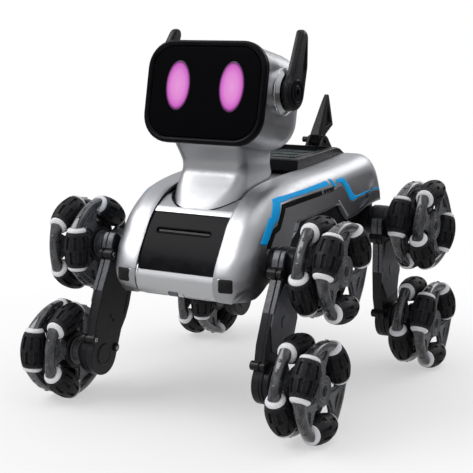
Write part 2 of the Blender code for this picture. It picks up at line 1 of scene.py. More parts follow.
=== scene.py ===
"""The looks of the quadruped robot dog: housings, roller wheels, markings, face and lights.

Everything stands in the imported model's frame: the dog faces -Y, its left side is +X and the floor is
z = 0. Shapes are drawn in millimetres, the left one of a pair, and as_mesh() mirrors them and turns
them into metres.
"""
import json
from math import atan2, cos, pi, radians, sin, sqrt

import bmesh
import bpy
from mathutils import Matrix, Vector
from mathutils.bvhtree import BVHTree

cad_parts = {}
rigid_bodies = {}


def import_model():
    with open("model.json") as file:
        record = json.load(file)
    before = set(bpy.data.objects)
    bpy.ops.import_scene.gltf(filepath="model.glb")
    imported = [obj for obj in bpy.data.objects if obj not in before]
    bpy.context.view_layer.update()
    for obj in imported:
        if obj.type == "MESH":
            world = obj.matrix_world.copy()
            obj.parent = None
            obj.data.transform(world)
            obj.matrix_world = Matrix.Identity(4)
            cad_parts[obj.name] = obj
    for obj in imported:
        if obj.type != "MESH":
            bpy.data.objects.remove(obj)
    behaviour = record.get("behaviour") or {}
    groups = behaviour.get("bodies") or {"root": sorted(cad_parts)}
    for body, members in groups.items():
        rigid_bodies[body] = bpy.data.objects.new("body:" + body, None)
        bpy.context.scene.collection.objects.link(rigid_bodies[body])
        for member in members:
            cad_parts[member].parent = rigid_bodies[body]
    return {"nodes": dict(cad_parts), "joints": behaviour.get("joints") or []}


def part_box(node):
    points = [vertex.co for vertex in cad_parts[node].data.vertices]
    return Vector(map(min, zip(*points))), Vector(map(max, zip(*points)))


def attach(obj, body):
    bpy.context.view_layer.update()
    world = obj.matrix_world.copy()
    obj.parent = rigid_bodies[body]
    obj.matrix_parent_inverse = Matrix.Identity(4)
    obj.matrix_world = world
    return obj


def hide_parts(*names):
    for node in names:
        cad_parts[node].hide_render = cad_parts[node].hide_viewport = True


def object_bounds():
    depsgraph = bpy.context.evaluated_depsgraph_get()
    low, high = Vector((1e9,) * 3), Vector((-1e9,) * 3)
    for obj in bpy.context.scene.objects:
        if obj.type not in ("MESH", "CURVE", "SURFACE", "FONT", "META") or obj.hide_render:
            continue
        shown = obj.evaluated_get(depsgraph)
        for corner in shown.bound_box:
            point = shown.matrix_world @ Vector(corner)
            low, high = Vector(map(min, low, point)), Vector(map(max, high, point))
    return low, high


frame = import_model()
CAD_LOW, CAD_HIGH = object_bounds()
JOINTS = {joint["name"]: joint for joint in frame["joints"]}

MM = 0.001
SIDES = {"left": 1, "right": -1}
CHASSIS = "chassis"

# wheels
WHEEL_R, ROW_X = 38, 9.27
THIRD = 2 * pi / 3                          # angle between the arms of a row
ROLLER_AXIS = 27.5                          # distance of a roller's axis from the wheel's axis
TYRE_GAP = 0.35                             # how far a tyre stays inside the wheel's circle
ARM_END = 17.1                              # where the arms end, along a roller's axis
ARM_HALF_DEPTH, ARM_HALF_WIDTH, ARM_BOW = 3.9, 4.3, 1.6
ARM_REACH = sqrt(ARM_END ** 2 + ROLLER_AXIS ** 2)
TURNS = {("upper", "front", "left"): 90, ("upper", "front", "right"): 180,
         ("upper", "rear", "left"): 160, ("upper", "rear", "right"): 150,
         ("lower", "front", "left"): 90, ("lower", "front", "right"): 112,
         ("lower", "rear", "left"): 90, ("lower", "rear", "right"): 180}

# legs: length, lean, and the x of the inner face, the joint line, the cover and its bosses
LEG = 84.32
LEANS = {"front": radians(22.84), "rear": radians(-5.56)}
LEG_IN, LEG_SPLIT, LEG_FACE, LEG_OUT = 68, 74.5, 76.6, 81.8

# body; a row of SHELL_RIM is (y, z, half width, edge radius), a row of SHELL_HEM is (y, z)
SEAM_X, WALL = 33, 2.2
PANEL_HALF = SEAM_X - 0.4
SHELL_RIM = [(-110, 91, 46, 1), (-114.5, 95.5, 53, 6), (-116.5, 104, 58, 12), (-113.5, 115, 60, 15),
             (-104, 131, 60, 16), (-93.5, 146.5, 60, 16), (-77, 159.5, 60, 16), (-58, 166.5, 60, 15),
             (-24, 171, 60, 14), (28, 173, 60, 14), (68, 175.5, 60, 14), (94, 177.5, 60, 15),
             (108, 175.5, 60, 17), (117.5, 166.5, 60, 16), (122.5, 151, 59, 9), (123, 136.5, 58, 1)]
SHELL_HEM = [(-109, 91.5), (-104, 92), (-98, 94), (-92, 98), (-84, 102), (-74, 104), (-66, 106),
             (-57, 113), (-39, 140), (10, 142), (33, 144), (51, 129.5), (70, 131), (90, 135.5),
             (108, 136.5), (121.5, 136.5)]
SOFT_CORNER, SOFT_REACH, SOFT_TURNS = Vector((56, -102, 98)), 26, 60
CHEST_SLOT, SLOT_SIZE = Vector((-1.5, -98.6, 136.9)), (45, 3)
NECK_FOOT, NECK_CORNER = (31.4, -86, -10), 27
TRAY_MID_Y, TRAY_TOP = 54.5, 177
BELLY_Z, BATTERY_MID_Y, REAR_PLATE_Z = 103.2, 7.5, 119.5

# head, ears, tail
TILT = radians(11.6)
FACE_CENTRE = Vector((0, -73.3, 236.8))
FACE_W, FACE_H, FACE_CORNER = 100.4, 76, 21
HEAD_DEPTH, HEAD_ROUNDS_FROM = 80, 48
EYE_U, EYE_V, EYE_HALF_U, EYE_HALF_V = 22.8, 4.3, 10.3, 18.4
EAR_AXIS, EAR_LENGTH, EAR_LEAN = (-43, 236.5), 43.6, radians(26)
TAIL_PIN, FIN_HALF, FIN_HEIGHT, FIN_TAPER = (117, 185), 4.4, 38.6, 0.6


# -------------------- shape helpers

def bridge(bm, lower, upper):
    """A belt of faces between two equal rings of vertices."""
    for i in range(len(lower)):
        j = (i + 1) % len(lower)
        bm.faces.new((lower[i], lower[j], upper[j], upper[i]))


def loft(rings, loop=False, bm=None):
    """A closed mesh through equal rings of points, with end faces or closed into a loop."""
    bm = bm or bmesh.new()
    loops = [[bm.verts.new(point) for point in ring] for ring in rings]
    for lower, upper in zip(loops, loops[1:]):
        bridge(bm, lower, upper)
    if loop:
        bridge(bm, loops[-1], loops[0])
    else:
        bm.faces.new(list(reversed(loops[0])))
        bm.faces.new(loops[-1])
    return bm


def prism(outline, x0, x1, bm=None):
    """A (y, z) outline drawn out along X."""
    return loft([[(x, y, z) for y, z in outline] for x in (x0, x1)], bm=bm)


def block(x0, x1, y0, y1, z0, z1, bm=None):
    return prism([(y0, z0), (y1, z0), (y1, z1), (y0, z1)], x0, x1, bm)


def arc(radius, start, end, steps, y=0, z=0):
    """Points of an arc about (y, z), both ends included."""
    angles = [start + (end - start) * i / steps for i in range(steps + 1)]
    return [(y + radius * cos(a), z + radius * sin(a)) for a in angles]


def circle(radius, count, y=0, z=0):
    return arc(radius, 0, 2 * pi, count, y, z)[:-1]


def lathe(profile, y=0, z=0, count=40, loop=False, bm=None):
    """A shape turned about the X direction through (x, radius) points."""
    return loft([[(x, *p) for p in circle(r, count, y, z)] for x, r in profile], loop, bm)


def spline(four, t):
    """Catmull-Rom point between the second and third of four tuples."""
    return tuple(0.5 * (2 * b + (c - a) * t + (2 * a - 5 * b + 4 * c - d) * t * t
                        + (3 * b - a - 3 * c + d) * t ** 3) for a, b, c, d in zip(*four))


def curve(points, steps=4):
    """A smooth curve through tuples of any length, with equal parts between neighbours."""
    out = []
    for i in range(len(points) - 1):
        four = (points[max(i - 1, 0)], points[i], points[i + 1], points[min(i + 2, len(points) - 1)])
        out += [spline(four, k / steps) for k in range(steps)]
    return out + [points[-1]]


def between(a, b, count):
    """count points strictly between a and b."""
    shares = [(i + 1) / (count + 1) for i in range(count)]
    return [tuple(p + (q - p) * u for p, q in zip(a, b)) for u in shares]


def inward(before, after):
    """Unit vector at right angles to a step in (y, z), to its left."""
    along = Vector((after[0] - before[0], after[1] - before[1])).normalized()
    return Vector((along.y, -along.x))


def strip(outer, thickness):
    """Closed (y, z) outline of a bent plate, its outer face through the given points."""
    inner = []
    for before, point, after in zip([outer[0], *outer], outer, [*outer[1:], outer[-1]]):
        into = inward(before, after)
        inner.append((point[0] + into.x * thickness, point[1] + into.y * thickness))
    return list(outer) + inner[::-1]


def mirrored(half):
    """An outline from one half, with the other half's z turned over."""
    return half + [(y, -z) for y, z in reversed(half) if z]


def turned(point, angle):
    y, z = point
    return y * cos(angle) - z * sin(angle), y * sin(angle) + z * cos(angle)


def rounded_rect(width, height, radius, steps=9):
    points = []
    for quarter, (su, sv) in enumerate(((1, 1), (-1, 1), (-1, -1), (1, -1))):
        cu, cv = su * (width / 2 - radius), sv * (height / 2 - radius)
        points += arc(radius, quarter * pi / 2, (quarter + 1) * pi / 2, steps, cu, cv)
    return points


def lying(x0, y0):
    """Puts a plan's points about (x0, y0), level by level in z."""
    return lambda u, v, z: (x0 + u, y0 + v, z)


def standing(x0, z0):
    """Puts a rear view's points about (x0, z0), level by level in y."""
    return lambda u, v, y: (x0 + u, y, z0 + v)


def slab(size, corner, levels, at, taper=0, steps=5):
    """Rings of a rounded plate from (inset, level) pairs; the corner shrinks by taper times the inset."""
    width, height = size
    outlines = [(rounded_rect(width - 2 * g, height - 2 * g, corner - taper * g, steps), level)
                for g, level in levels]
    return [[at(u, v, level) for u, v in outline] for outline, level in outlines]


def stud(profile, at, count=16, bm=None):
    """A round head from (level, radius) pairs."""
    return loft([[at(u, v, level) for u, v in circle(r, count)] for level, r in profile], bm=bm)


# -------------------- pieces

def as_mesh(name, bm, mat=None, side=1, angle=32, sheet=False):
    """A mesh in metres; side = -1 mirrors it across x = 0, and a sheet keeps its faces' direction."""
    bmesh.ops.transform(bm, matrix=Matrix.Diagonal((side * MM, MM, MM, 1)), verts=bm.verts)
    if not sheet:
        bmesh.ops.recalc_face_normals(bm, faces=bm.faces)
    elif side < 0:
        bmesh.ops.reverse_faces(bm, faces=bm.faces)
    mesh = bpy.data.meshes.new(name)
    bm.to_mesh(mesh)
    bm.free()
    if mat:
        mesh.materials.append(mat)
    mesh.shade_smooth()
    mesh.set_sharp_from_angle(angle=radians(angle))
    return mesh


def add_object(name, data):
    obj = bpy.data.objects.new(name, data)
    bpy.context.scene.collection.objects.link(obj)
    return obj


def put(name, mesh, body=CHASSIS, node=None, slot=None, place=None, edge=0, rings=2):
    """Shows a mesh on a body, in place of a CAD node, with bevelled edges if edge is given."""
    obj = add_object(name, mesh)
    if place is not None:
        obj.matrix_world = place
    if edge:
        bevel(obj, edge, rings)
    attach(obj, body)
    if node:
        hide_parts(node)
    slot = SLOTS.get(mesh.materials[0].name) if slot is None else slot
    return obj


def piece(name, bm, mat, side=1, angle=32, sheet=False, **options):
    """A visible piece from a mesh in millimetres; the options are put()'s."""
    return put(name, as_mesh(name, bm, mat, side, angle, sheet), **options)


def bevel(obj, width, rings=2):
    soft = obj.modifiers.new("edges", "BEVEL")
    soft.width = width * MM
    soft.segments = rings
    soft.limit_method = "ANGLE"
    soft.angle_limit = radians(32)
    soft.harden_normals = True


def thicken(obj, thickness):
    wall = obj.modifiers.new("wall", "SOLIDIFY")
    wall.thickness = thickness * MM
    wall.offset = -1


def cut(obj, bm, side=1):
    """Cuts a mesh in millimetres out of a piece, in the piece's own frame."""
    tool = add_object("tool", as_mesh("tool", bm, side=side))
    kept = [(m.width, m.segments) for m in obj.modifiers]
    obj.modifiers.clear()
    place, parent = obj.matrix_world.copy(), obj.parent
    obj.parent, obj.matrix_world = None, Matrix.Identity(4)
    step = obj.modifiers.new("cut", "BOOLEAN")
    step.operation, step.solver, step.object = "DIFFERENCE", "EXACT", tool
    bpy.context.view_layer.update()
    result = bpy.data.meshes.new_from_object(obj.evaluated_get(bpy.context.evaluated_depsgraph_get()))
    obj.modifiers.clear()
    obj.data = result
    result.shade_smooth()
    result.set_sharp_from_angle(angle=radians(32))
    obj.parent, obj.matrix_world = parent, place
    for width, segments in kept:
        bevel(obj, width / MM, segments)
    bpy.data.objects.remove(tool, do_unlink=True)


# -------------------- materials

def shade(tone, gain, lift=0):
    return [min(1, c * gain + lift) for c in tone]


class Nodes:
    """Short ways to add shader nodes to a tree."""

    def __init__(self, tree):
        self.tree = tree

    def node(self, kind, inputs=None, **values):
        made = self.tree.nodes.new("ShaderNode" + kind)
        for key, value in values.items():
            setattr(made, key, value)
        for key, value in (inputs or {}).items():
            self.feed(made.inputs[key], value)
        return made

    def feed(self, socket, value):
        if isinstance(value, bpy.types.NodeSocket):
            self.tree.links.new(value, socket)
        else:
            socket.default_value = value

    def span(self, value, low, high, to_low, to_high):
        return self.node("MapRange", {"Value": value, "From Min": low, "From Max": high,
                                                "To Min": to_low, "To Max": to_high}).outputs[0]

    def mix(self, fac, a, b, blend="MIX"):
        made = self.node("Mix", {"Factor": fac}, data_type="RGBA", blend_type=blend)
        for socket, value in zip((s for s in made.inputs if s.type == "RGBA"), (a, b)):
            self.feed(socket, value if isinstance(value, bpy.types.NodeSocket) else (*value, 1))
        return next(s for s in made.outputs if s.type == "RGBA")

    def ramp(self, fac, stops):
        """A colour for each stretch of fac, from (position, colour) stops."""
        made = self.node("ValToRGB", {"Fac": fac})
        elements = made.color_ramp.elements
        while len(elements) < len(stops):
            elements.new(0.5)
        for element, (at, tone) in zip(elements, stops):
            element.position, element.color = at, (*tone, 1)
        return made.outputs["Color"]

    def math(self, operation, a, b):
        return self.node("Math", {0: a, 1: b}, operation=operation).outputs[0]


class Look(Nodes):
    """A node material in object coordinates, built up from a few kinds of fine detail."""

    def __init__(self, name, metallic=0, coat=0, specular=0.5):
        self.mat = bpy.data.materials.new(name)
        self.mat.use_nodes = True
        super().__init__(self.mat.node_tree)
        self.shader = self.tree.nodes["Principled BSDF"]
        self.set(Metallic=metallic, Coat_Weight=coat, Coat_Roughness=0.08, Specular_IOR_Level=specular)
        self.coords = self.node("TexCoord").outputs["Object"]
        self.normal = None

    def set(self, **inputs):
        for key, value in inputs.items():
            self.feed(self.shader.inputs[key.replace("_", " ")], value)

    def scaled(self, scale):
        return self.node("Mapping", {"Vector": self.coords, "Scale": scale}).outputs[0]

    def noise(self, size, detail=3, stretch=(1, 1, 1), rough=0.5):
        """Noise between 0 and 1 whose features are about size millimetres across."""
        return self.node("TexNoise", {"Vector": self.scaled(stretch), "Scale": 1 / (size * MM),
                                                "Detail": detail, "Roughness": rough}).outputs["Fac"]

    def cells(self, size):
        """Distance from the middle of cells about size millimetres across."""
        return self.node("TexVoronoi", {"Vector": self.scaled((1, 1, 1)),
                                                  "Scale": 1 / (size * MM)}).outputs["Distance"]

    def spots(self, base, tone, low, high, share, *noise, **more):
        """Lays tone over base, up to a share of it, where a noise runs from low to high."""
        return self.mix(self.span(self.noise(*noise, **more), low, high, 0, share), base, tone)

    def edges(self, low=0.53, high=0.62):
        """1 on convex edges, 0 on flats, broken up by noise."""
        sharp = self.node("NewGeometry").outputs["Pointiness"]
        worn = self.span(self.noise(1.6, 4), 0.42, 0.66, 0, 1)
        return self.math("MULTIPLY", self.span(sharp, low, high, 0, 1), worn)

    def sheen(self, size, detail, low, high):
        """Roughness that wanders between two values."""
        self.set(Roughness=self.span(self.noise(size, detail), 0.3, 0.7, low, high))

    def bump(self, height, depth, strength):
        """Adds relief of about depth millimetres."""
        inputs = {"Height": height, "Distance": depth * MM, "Strength": strength}
        if self.normal:
            inputs["Normal"] = self.normal
        self.normal = self.node("Bump", inputs).outputs[0]
        self.set(Normal=self.normal)


def painted_metal(name, tone, rough, metallic):
    """Satin silver paint: soft clouding, fine flake and slightly brighter worn edges."""
    look = Look(name, metallic, coat=0.12)
    base = look.spots(shade(tone, 0.95), tone, 0.3, 0.7, 1, 30, 2)
    base = look.spots(base, shade(tone, 1.3), 0.35, 0.65, 0.18, 0.16, 1)
    base = look.mix(look.edges(0.56, 0.7), base, shade(tone, 1.15))
    look.set(Base_Color=base, Coat_Roughness=0.22)
    look.sheen(4.5, 3, rough - 0.03, rough + 0.05)
    look.bump(look.noise(1.6, 2), 0.003, 0.35)
    return look.mat


def plastic(name, tone, rough, grain=0.35, depth=0.012, worn=0.03, specular=0.3):
    """Moulded plastic: spark-eroded grain, uneven sheen, paler edges and a little dust."""
    look = Look(name, specular=specular)
    base = look.spots(shade(tone, 0.8), shade(tone, 1.15), 0.35, 0.65, 1, 9)
    base = look.mix(look.edges(), base, shade(tone, 1, worn))
    base = look.spots(base, shade(tone, 1, worn * 0.6), 0.68, 0.82, 0.3, 0.9, 6, rough=0.75)
    look.set(Base_Color=base)
    look.sheen(2.2, 5, rough - 0.08, rough + 0.1)
    look.bump(look.cells(grain), depth, 0.5)
    look.bump(look.noise(4, 2), 0.02, 0.25)
    return look.mat


def gloss(name, tone, rough=0.2):
    """Polished plastic with a faint smear of handling."""
    look = Look(name, specular=0.08)
    smear = look.span(look.noise(11, 4, (1, 2.5, 1)), 0.4, 0.7, 0, 1)
    look.set(Base_Color=look.mix(smear, tone, shade(tone, 1.7, 0.002)),
             Roughness=look.span(smear, 0, 1, rough, rough + 0.1))
    look.bump(look.noise(6, 1), 0.01, 0.2)
    return look.mat


def rubber(name, tone, dust, worn):
    look = Look(name, specular=0.22)
    base = look.spots(tone, dust, 0.5, 0.8, 0.4, 2.6, 5, rough=0.65)
    look.set(Base_Color=look.mix(look.edges(0.51, 0.57), base, worn))
    look.sheen(1.2, 4, 0.36, 0.6)
    look.bump(look.noise(0.35), 0.03, 0.5)
    look.bump(look.noise(2.5, 2), 0.05, 0.2)
    return look.mat


def smoke(name, dark, light):
    """Smoky, slightly milky plastic with lighter flow marks inside."""
    look = Look(name, coat=0.9, specular=0.6)
    base = look.spots(dark, light, 0.42, 0.62, 1, 4.2, 3, (1, 0.5, 0.5), 0.55)
    base = look.spots(base, shade(light, 1.8), 0.62, 0.74, 0.4, 1.7, 2)
    look.set(Base_Color=look.mix(look.edges(), base, shade(light, 1.3)))
    look.sheen(1.5, 4, 0.1, 0.26)
    look.bump(look.noise(2.4, 1), 0.04, 0.3)
    return look.mat


def white_plastic(name, tone, grime):
    look = Look(name, specular=0.45)
    look.set(Base_Color=look.spots(tone, grime, 0.52, 0.78, 0.35, 1.8, 5, rough=0.7))
    look.sheen(0.8, 3, 0.34, 0.5)
    look.bump(look.noise(0.5), 0.015, 0.4)
    return look.mat


def brushed(name, tone, rough):
    look = Look(name, 1)
    lines = look.noise(0.25, 4, (0.06, 1, 1))
    look.set(Base_Color=look.mix(lines, shade(tone, 0.75), tone),
             Roughness=look.span(lines, 0.3, 0.7, rough - 0.06, rough + 0.12))
    look.bump(lines, 0.01, 0.35)
    return look.mat


def printed(name, tone, rough, metallic=0, fade=None):
    """Printed film: even ink with a fine dot screen, slight clouding, and, when asked, painted shade that
    darkens it towards the rear.
    """
    look = Look(name, metallic, specular=0.14)
    dots = look.span(look.cells(0.3), 0.1, 0.7, 0, 0.2)
    base = look.mix(dots, tone, shade(tone, 1.15, 0.003))
    base = look.spots(base, shade(tone, 0.82), 0.4, 0.7, 0.25, 14)
    if fade:
        # painted shade: the ink darkens towards the rear
        (start, end), rear_shade_tone = fade
        along = look.node("SeparateXYZ", {"Vector": look.coords}).outputs["Y"]
        base = look.mix(look.span(along, start, end, 0, 1), base, rear_shade_tone)
    look.set(Base_Color=base)
    look.sheen(2, 4, rough - 0.06, rough + 0.08)
    look.bump(look.noise(1, 2), 0.004, 0.25)
    return look.mat


def glass(name, dark, lit):
    """Dark display glass with the faint pattern of its dots."""
    look = Look(name, coat=0.02, specular=0.05)
    dots = look.span(look.cells(0.5), 0.15, 0.6, 1, 0)
    look.set(Base_Color=look.mix(dots, dark, lit),
             Roughness=look.span(look.noise(14, 4), 0.4, 0.7, 0.14, 0.2),
             Coat_Roughness=look.span(look.noise(7, 5), 0.45, 0.75, 0.02, 0.07))
    look.bump(look.noise(20, 1), 0.01, 0.15)
    return look.mat


def eye_glow(name):
    """Lit oval: pale in the middle, saturated at the rim, black at the very edge."""
    look = Look(name, coat=0.6)
    oval = look.scaled((1 / (EYE_HALF_U * MM), 0, 1 / (EYE_HALF_V * MM)))
    radius = look.node("VectorMath", {0: oval}, operation="LENGTH").outputs["Value"]
    far = look.math("ADD", radius, look.span(look.cells(0.5), 0.1, 0.7, 0.03, -0.03))
    glow = look.ramp(far, ((0, (0.70, 0.27, 0.62)), (0.55, (0.66, 0.2, 0.58)), (0.84, (0.52, 0.09, 0.47)),
                           (0.93, (0.14, 0.008, 0.13)), (1, (0.004, 0.001, 0.005))))
    look.set(Base_Color=(0.004, 0.002, 0.004, 1), Roughness=0.12, Emission_Color=glow,
             Emission_Strength=1.12)
    return look.mat


SILVER = painted_metal("silver_paint_look", (0.53, 0.535, 0.55), 0.39, 1)
BRIGHT = painted_metal("bright_silver_look", (0.66, 0.67, 0.68), 0.32, 0.8)
POLISHED = painted_metal("polished_ring_look", (0.8, 0.81, 0.83), 0.2, 1)
BLACK = plastic("black_plastic_look", (0.0085, 0.0088, 0.0105), 0.34)
SATIN = plastic("satin_black_look", (0.006, 0.006, 0.0075), 0.3, 0.5, 0.008, worn=0.02)
GLOSS = gloss("gloss_black_look", (0.003, 0.003, 0.004))
GREY = plastic("grey_plastic_look", (0.115, 0.118, 0.135), 0.36, worn=0.06)
# lighter grey of the legs' front strips: a painted highlight for the sheen of black plastic
STRIP = plastic("strip_painted_highlight_look", (0.075, 0.077, 0.088), 0.26, worn=0.08, specular=0.6)
TAIL = plastic("tail_black_look", (0.01, 0.01, 0.0115), 0.34, 0.6, 0.02, specular=0.22)
SMOKE = smoke("smoke_plastic_look", (0.018, 0.0185, 0.02), (0.07, 0.072, 0.078))
HUB = plastic("hub_plastic_look", (0.085, 0.087, 0.094), 0.3, worn=0.1, specular=0.6)
DRUM = plastic("drum_black_look", (0.008, 0.008, 0.0095), 0.4)
RUBBER = rubber("rubber_look", (0.008, 0.008, 0.0095), (0.022, 0.022, 0.026), (0.075, 0.075, 0.08))
WHITE = white_plastic("white_cap_look", (0.84, 0.84, 0.85), (0.5, 0.5, 0.51))
STEEL = brushed("steel_look", (0.62, 0.62, 0.64), 0.24)
INLAY = gloss("inlay_look", (0.1, 0.125, 0.125), 0.16)
BLUE = printed("blue_print_look", (0, 0.44, 1), 0.45)
# grey print; its rear is darkened by painted shade
SHADE = printed("grey_print_painted_shade_look", (0.34, 0.34, 0.35), 0.4, 0.6, ((-0.05, 0.09), (0.08, 0.08, 0.088)))
INK = printed("black_print_look", (0.001, 0.001, 0.0014), 0.6)
GLASS = glass("display_look", (0.0008, 0.0008, 0.0012), (0.0018, 0.0018, 0.0026))
PAD = plastic("pad_rubber_look", (0.006, 0.006, 0.0065), 0.5, 0.5, 0.03)
WRAP = printed("battery_wrap_look", (0.08, 0.14, 0.4), 0.45)
GLOW = eye_glow("eye_glow_look")

# the record's material slot that each look belongs to
SLOTS = {mat.name: slot for slot, mats in {
    "silver_paint": (SILVER, BRIGHT, POLISHED), "black_plastic": (BLACK, SATIN, TAIL, DRUM, PAD),
    "gloss_black": (GLOSS, INLAY), "grey_plastic": (GREY, STRIP, SHADE), "smoke_plastic": (SMOKE, HUB),
    "black_rubber": (RUBBER,), "display": (GLASS, GLOW)}.items() for mat in mats}


# -------------------- wheels

def arm_places():
    """(row's x, angle) of a wheel's six arms: three in each row, one row half a pitch off the other."""
    return [(x, phase + arm * THIRD) for x, phase in ((ROW_X, 0), (-ROW_X, THIRD / 2)) for arm in range(3)]


def roller_radius(t):
    """A roller's radius at t along its axis, so that the rollers together make a round wheel."""
    return sqrt(WHEEL_R ** 2 - t * t) - ROLLER_AXIS - TYRE_GAP


def tyre_mesh():
    """Rubber barrel about Z with two rows of pockets, one row half a pitch off the other."""
    pitch, pockets, depth = 40, 9, 1.25
    half, flank = 6.6, 7.8                  # pocket's half width in degrees, at its floor and its top
    angles = [20 * k + a for k in range(2 * pockets) for a in (half, flank, 20 - flank, 20 - half)]
    inside = (1.7, 4.4, 7.2, 9.9)
    stations = [(13.4, 0.6), (13, 0.05), (11.6, 0), (10.5, 0)]
    stations += [(t, 0) for t in reversed(inside)] + [(1.1, 0)]
    stations += [(-t, drop) for t, drop in reversed(stations)]
    rings = []
    for t, drop in stations:
        shift = 0 if t > 0 else pitch / 2
        ring = []
        for a in angles:
            off = abs((a - shift + pitch / 2) % pitch - pitch / 2)
            sunk = depth if off < half + 0.1 and abs(t) in inside else 0
            r = roller_radius(t) - drop - sunk
            ring.append((r * cos(radians(a)), r * sin(radians(a)), t))
        rings.append(ring)
    return loft(rings)


def caps_mesh():
    """The white end collars of a roller, about Z."""
    bm = bmesh.new()
    profile = [(13.5, 3), (13.5, 7), (13.8, 7.3), (14.5, 7.34), (15.3, 7), (16, 6.3), (16.5, 5.5),
               (16.75, 4.6), (16.8, 3)]
    for end in (1, -1):
        stud([(end * t, r) for t, r in profile], lying(0, 0), 28, bm)
    return bm


def add_arms(bm):
    """The six bowed arms between the rollers, in the wheel's own frame."""
    half_arm = THIRD / 2 - atan2(ARM_END, ROLLER_AXIS)
    lean = THIRD / 2 - half_arm
    for x, middle in arm_places():
        rings = []
        for k in range(-8, 9):
            step = k / 8
            angle = middle + step * half_arm
            radius = ARM_REACH - ARM_BOW * (1 - step * step)
            swell = 0.94 + 0.14 * abs(step) ** 3
            out = Vector((0, cos(angle + step * lean), sin(angle + step * lean)))
            centre = Vector((x, radius * cos(angle), radius * sin(angle)))
            ring = []
            for c, s in circle(1, 20):
                stretch = (abs(c) ** 3 + abs(s) ** 3) ** (-1 / 3)
                across = Vector((ARM_HALF_WIDTH * swell * s * stretch, 0, 0))
                ring.append(centre + out * (ARM_HALF_DEPTH * swell * c * stretch) + across)
            rings.append(ring)
        loft(rings, bm=bm)


def add_arm_marks(bm):
    """Small moulded pads and ribs on the outside of the arms."""
    for x, middle in arm_places():
        for off, half_len, half_width in ((-0.27, 1.2, 1.2), (-0.03, 2.4, 0.7), (0.26, 0.9, 1.5)):
            outline = rounded_rect(2 * half_len, 2 * half_width, min(half_len, half_width) * 0.7, 3)
            bow = ARM_BOW * (1 - (off / 0.49) ** 2)
            radius = ARM_REACH - bow + ARM_HALF_DEPTH - 0.2
            rings = [[(x + v * s, *turned((radius + lift, u * s), middle + off)) for u, v in outline]
                     for lift, s in ((-0.6, 1), (0.22, 1), (0.38, 0.86))]
            loft(rings, bm=bm)


def add_spokes(bm):
    """Y-shaped ribs, each with a thin web behind, from the barrel to the ends of each arm."""
    rib = mirrored([(8, -3.4), (14, -2.6), (19, -5.2), (27.5, -11.6), (29.5, -9), (22.5, -2.2), (21.6, 0)])
    web = mirrored([(11, -7), (16, -6), (21, -8.6), (28.5, -13), (29.5, 0)])
    for x, turn in arm_places():
        for outline, half in ((rib, 2.3), (web, 0.9)):
            prism([turned(point, turn) for point in outline], x - half, x + half, bm)


def add_screw(bm, x0, x1, y, z, radius):
    """A round screw head facing x1, with a round recess in it."""
    sign = 1 if x1 > x0 else -1
    profile = [(x0, radius), (x1 - sign * 0.3, radius), (x1, radius * 0.8), (x1, radius * 0.42),
               (x1 - sign * 0.7, radius * 0.36)]
    lathe(profile, y, z, 12, bm=bm)


def wheel_meshes():
    """Shared meshes of a wheel, one set for each side, and of its rollers."""
    hub = [(2, 2.8), (2, 3.9), (12.5, 4), (12.9, 4.4), (12.9, 5.4), (12.1, 5.8), (12.1, 6.8),
           (12.7, 7.2), (12.8, 8.4), (11.9, 8.8), (11.9, 9.8), (12.4, 10.2), (12.4, 11), (9.6, 12),
           (8.9, 11.4), (8.4, 9), (-12.4, 9), (-12.6, 11), (-13.2, 10.4), (-13.4, 8.2),
           (-16.4, 7.8), (-17, 7.2), (-17, 2.8)]
    drum = [(8.7, 9.5), (8.7, 13.6), (7.8, 14.5), (3, 14.5), (2.6, 14.1), (2.2, 14.5), (-3, 14.5),
            (-3.4, 14.1), (-3.8, 14.5), (-11.2, 14.5), (-12, 13.6), (-12, 9.5)]
    meshes = {}
    for hand, side in SIDES.items():
        bm = bmesh.new()
        add_arms(bm)
        add_arm_marks(bm)
        meshes["arms", hand] = as_mesh("arms", bm, SMOKE, side, 50)
        bm = lathe(hub, count=44, loop=True)
        add_spokes(bm)
        meshes["hub", hand] = as_mesh("hub", bm, HUB, side)
        meshes["drum", hand] = as_mesh("drum", lathe(drum, count=48, loop=True), DRUM, side)
        bm = lathe([(-28, 2.2), (-27.6, 2.6), (4.6, 2.6), (4.6, 1.4), (3.6, 1.3)], count=20)
        for arm in range(3):
            for off in (-0.42, 0.42):
                y, z = turned((25, 0), THIRD / 2 + arm * THIRD + off)
                add_screw(bm, -ROW_X - 2, -ROW_X - 3.6, y, z, 1.7)
        meshes["shaft", hand] = as_mesh("shaft", bm, STEEL, side)
    meshes["tyre"] = as_mesh("tyre", tyre_mesh(), RUBBER, angle=28)
    meshes["caps"] = as_mesh("caps", caps_mesh(), WHITE, angle=40)
    return meshes


def build_wheels():
    """Eight wheels; a lower wheel's rollers ride on bodies of their own, an upper wheel's on the wheel."""
    meshes = wheel_meshes()
    for (level, end, hand), turn in TURNS.items():
        label = f"{level}_{end}_{hand}"
        body = f"wheel_{label}"
        centre = Vector(JOINTS[f"{body}_spin"]["pos_m"])
        place = Matrix.Translation(centre) @ Matrix.Rotation(radians(turn), 4, "X")
        loose = level == "lower"
        node = f"wheel_hub_{end}_{hand}" if loose else body
        put(f"arms_{label}", meshes["arms", hand], body, node, place=place)
        put(f"hub_{label}", meshes["hub", hand], body, place=place, edge=0.35, rings=1)
        put(f"drum_{label}", meshes["drum", hand], body, place=place)
        put(f"shaft_{label}", meshes["shaft", hand], body, place=place)
        for number in range(1, 7):
            row = SIDES[hand] * (ROW_X if number % 2 else -ROW_X)
            angle = radians(turn + 60 * number)
            spot = centre + Vector((row, ROLLER_AXIS * cos(angle), ROLLER_AXIS * sin(angle))) * MM
            spot = Matrix.Translation(spot) @ Matrix.Rotation(angle, 4, "X")
            roller = f"roller_{end}_{hand}_{number}" if loose else None
            put(f"tyre_{label}_{number}", meshes["tyre"], roller or body, roller, place=spot)
            put(f"caps_{label}_{number}", meshes["caps"], roller or body, place=spot)


# -------------------- legs

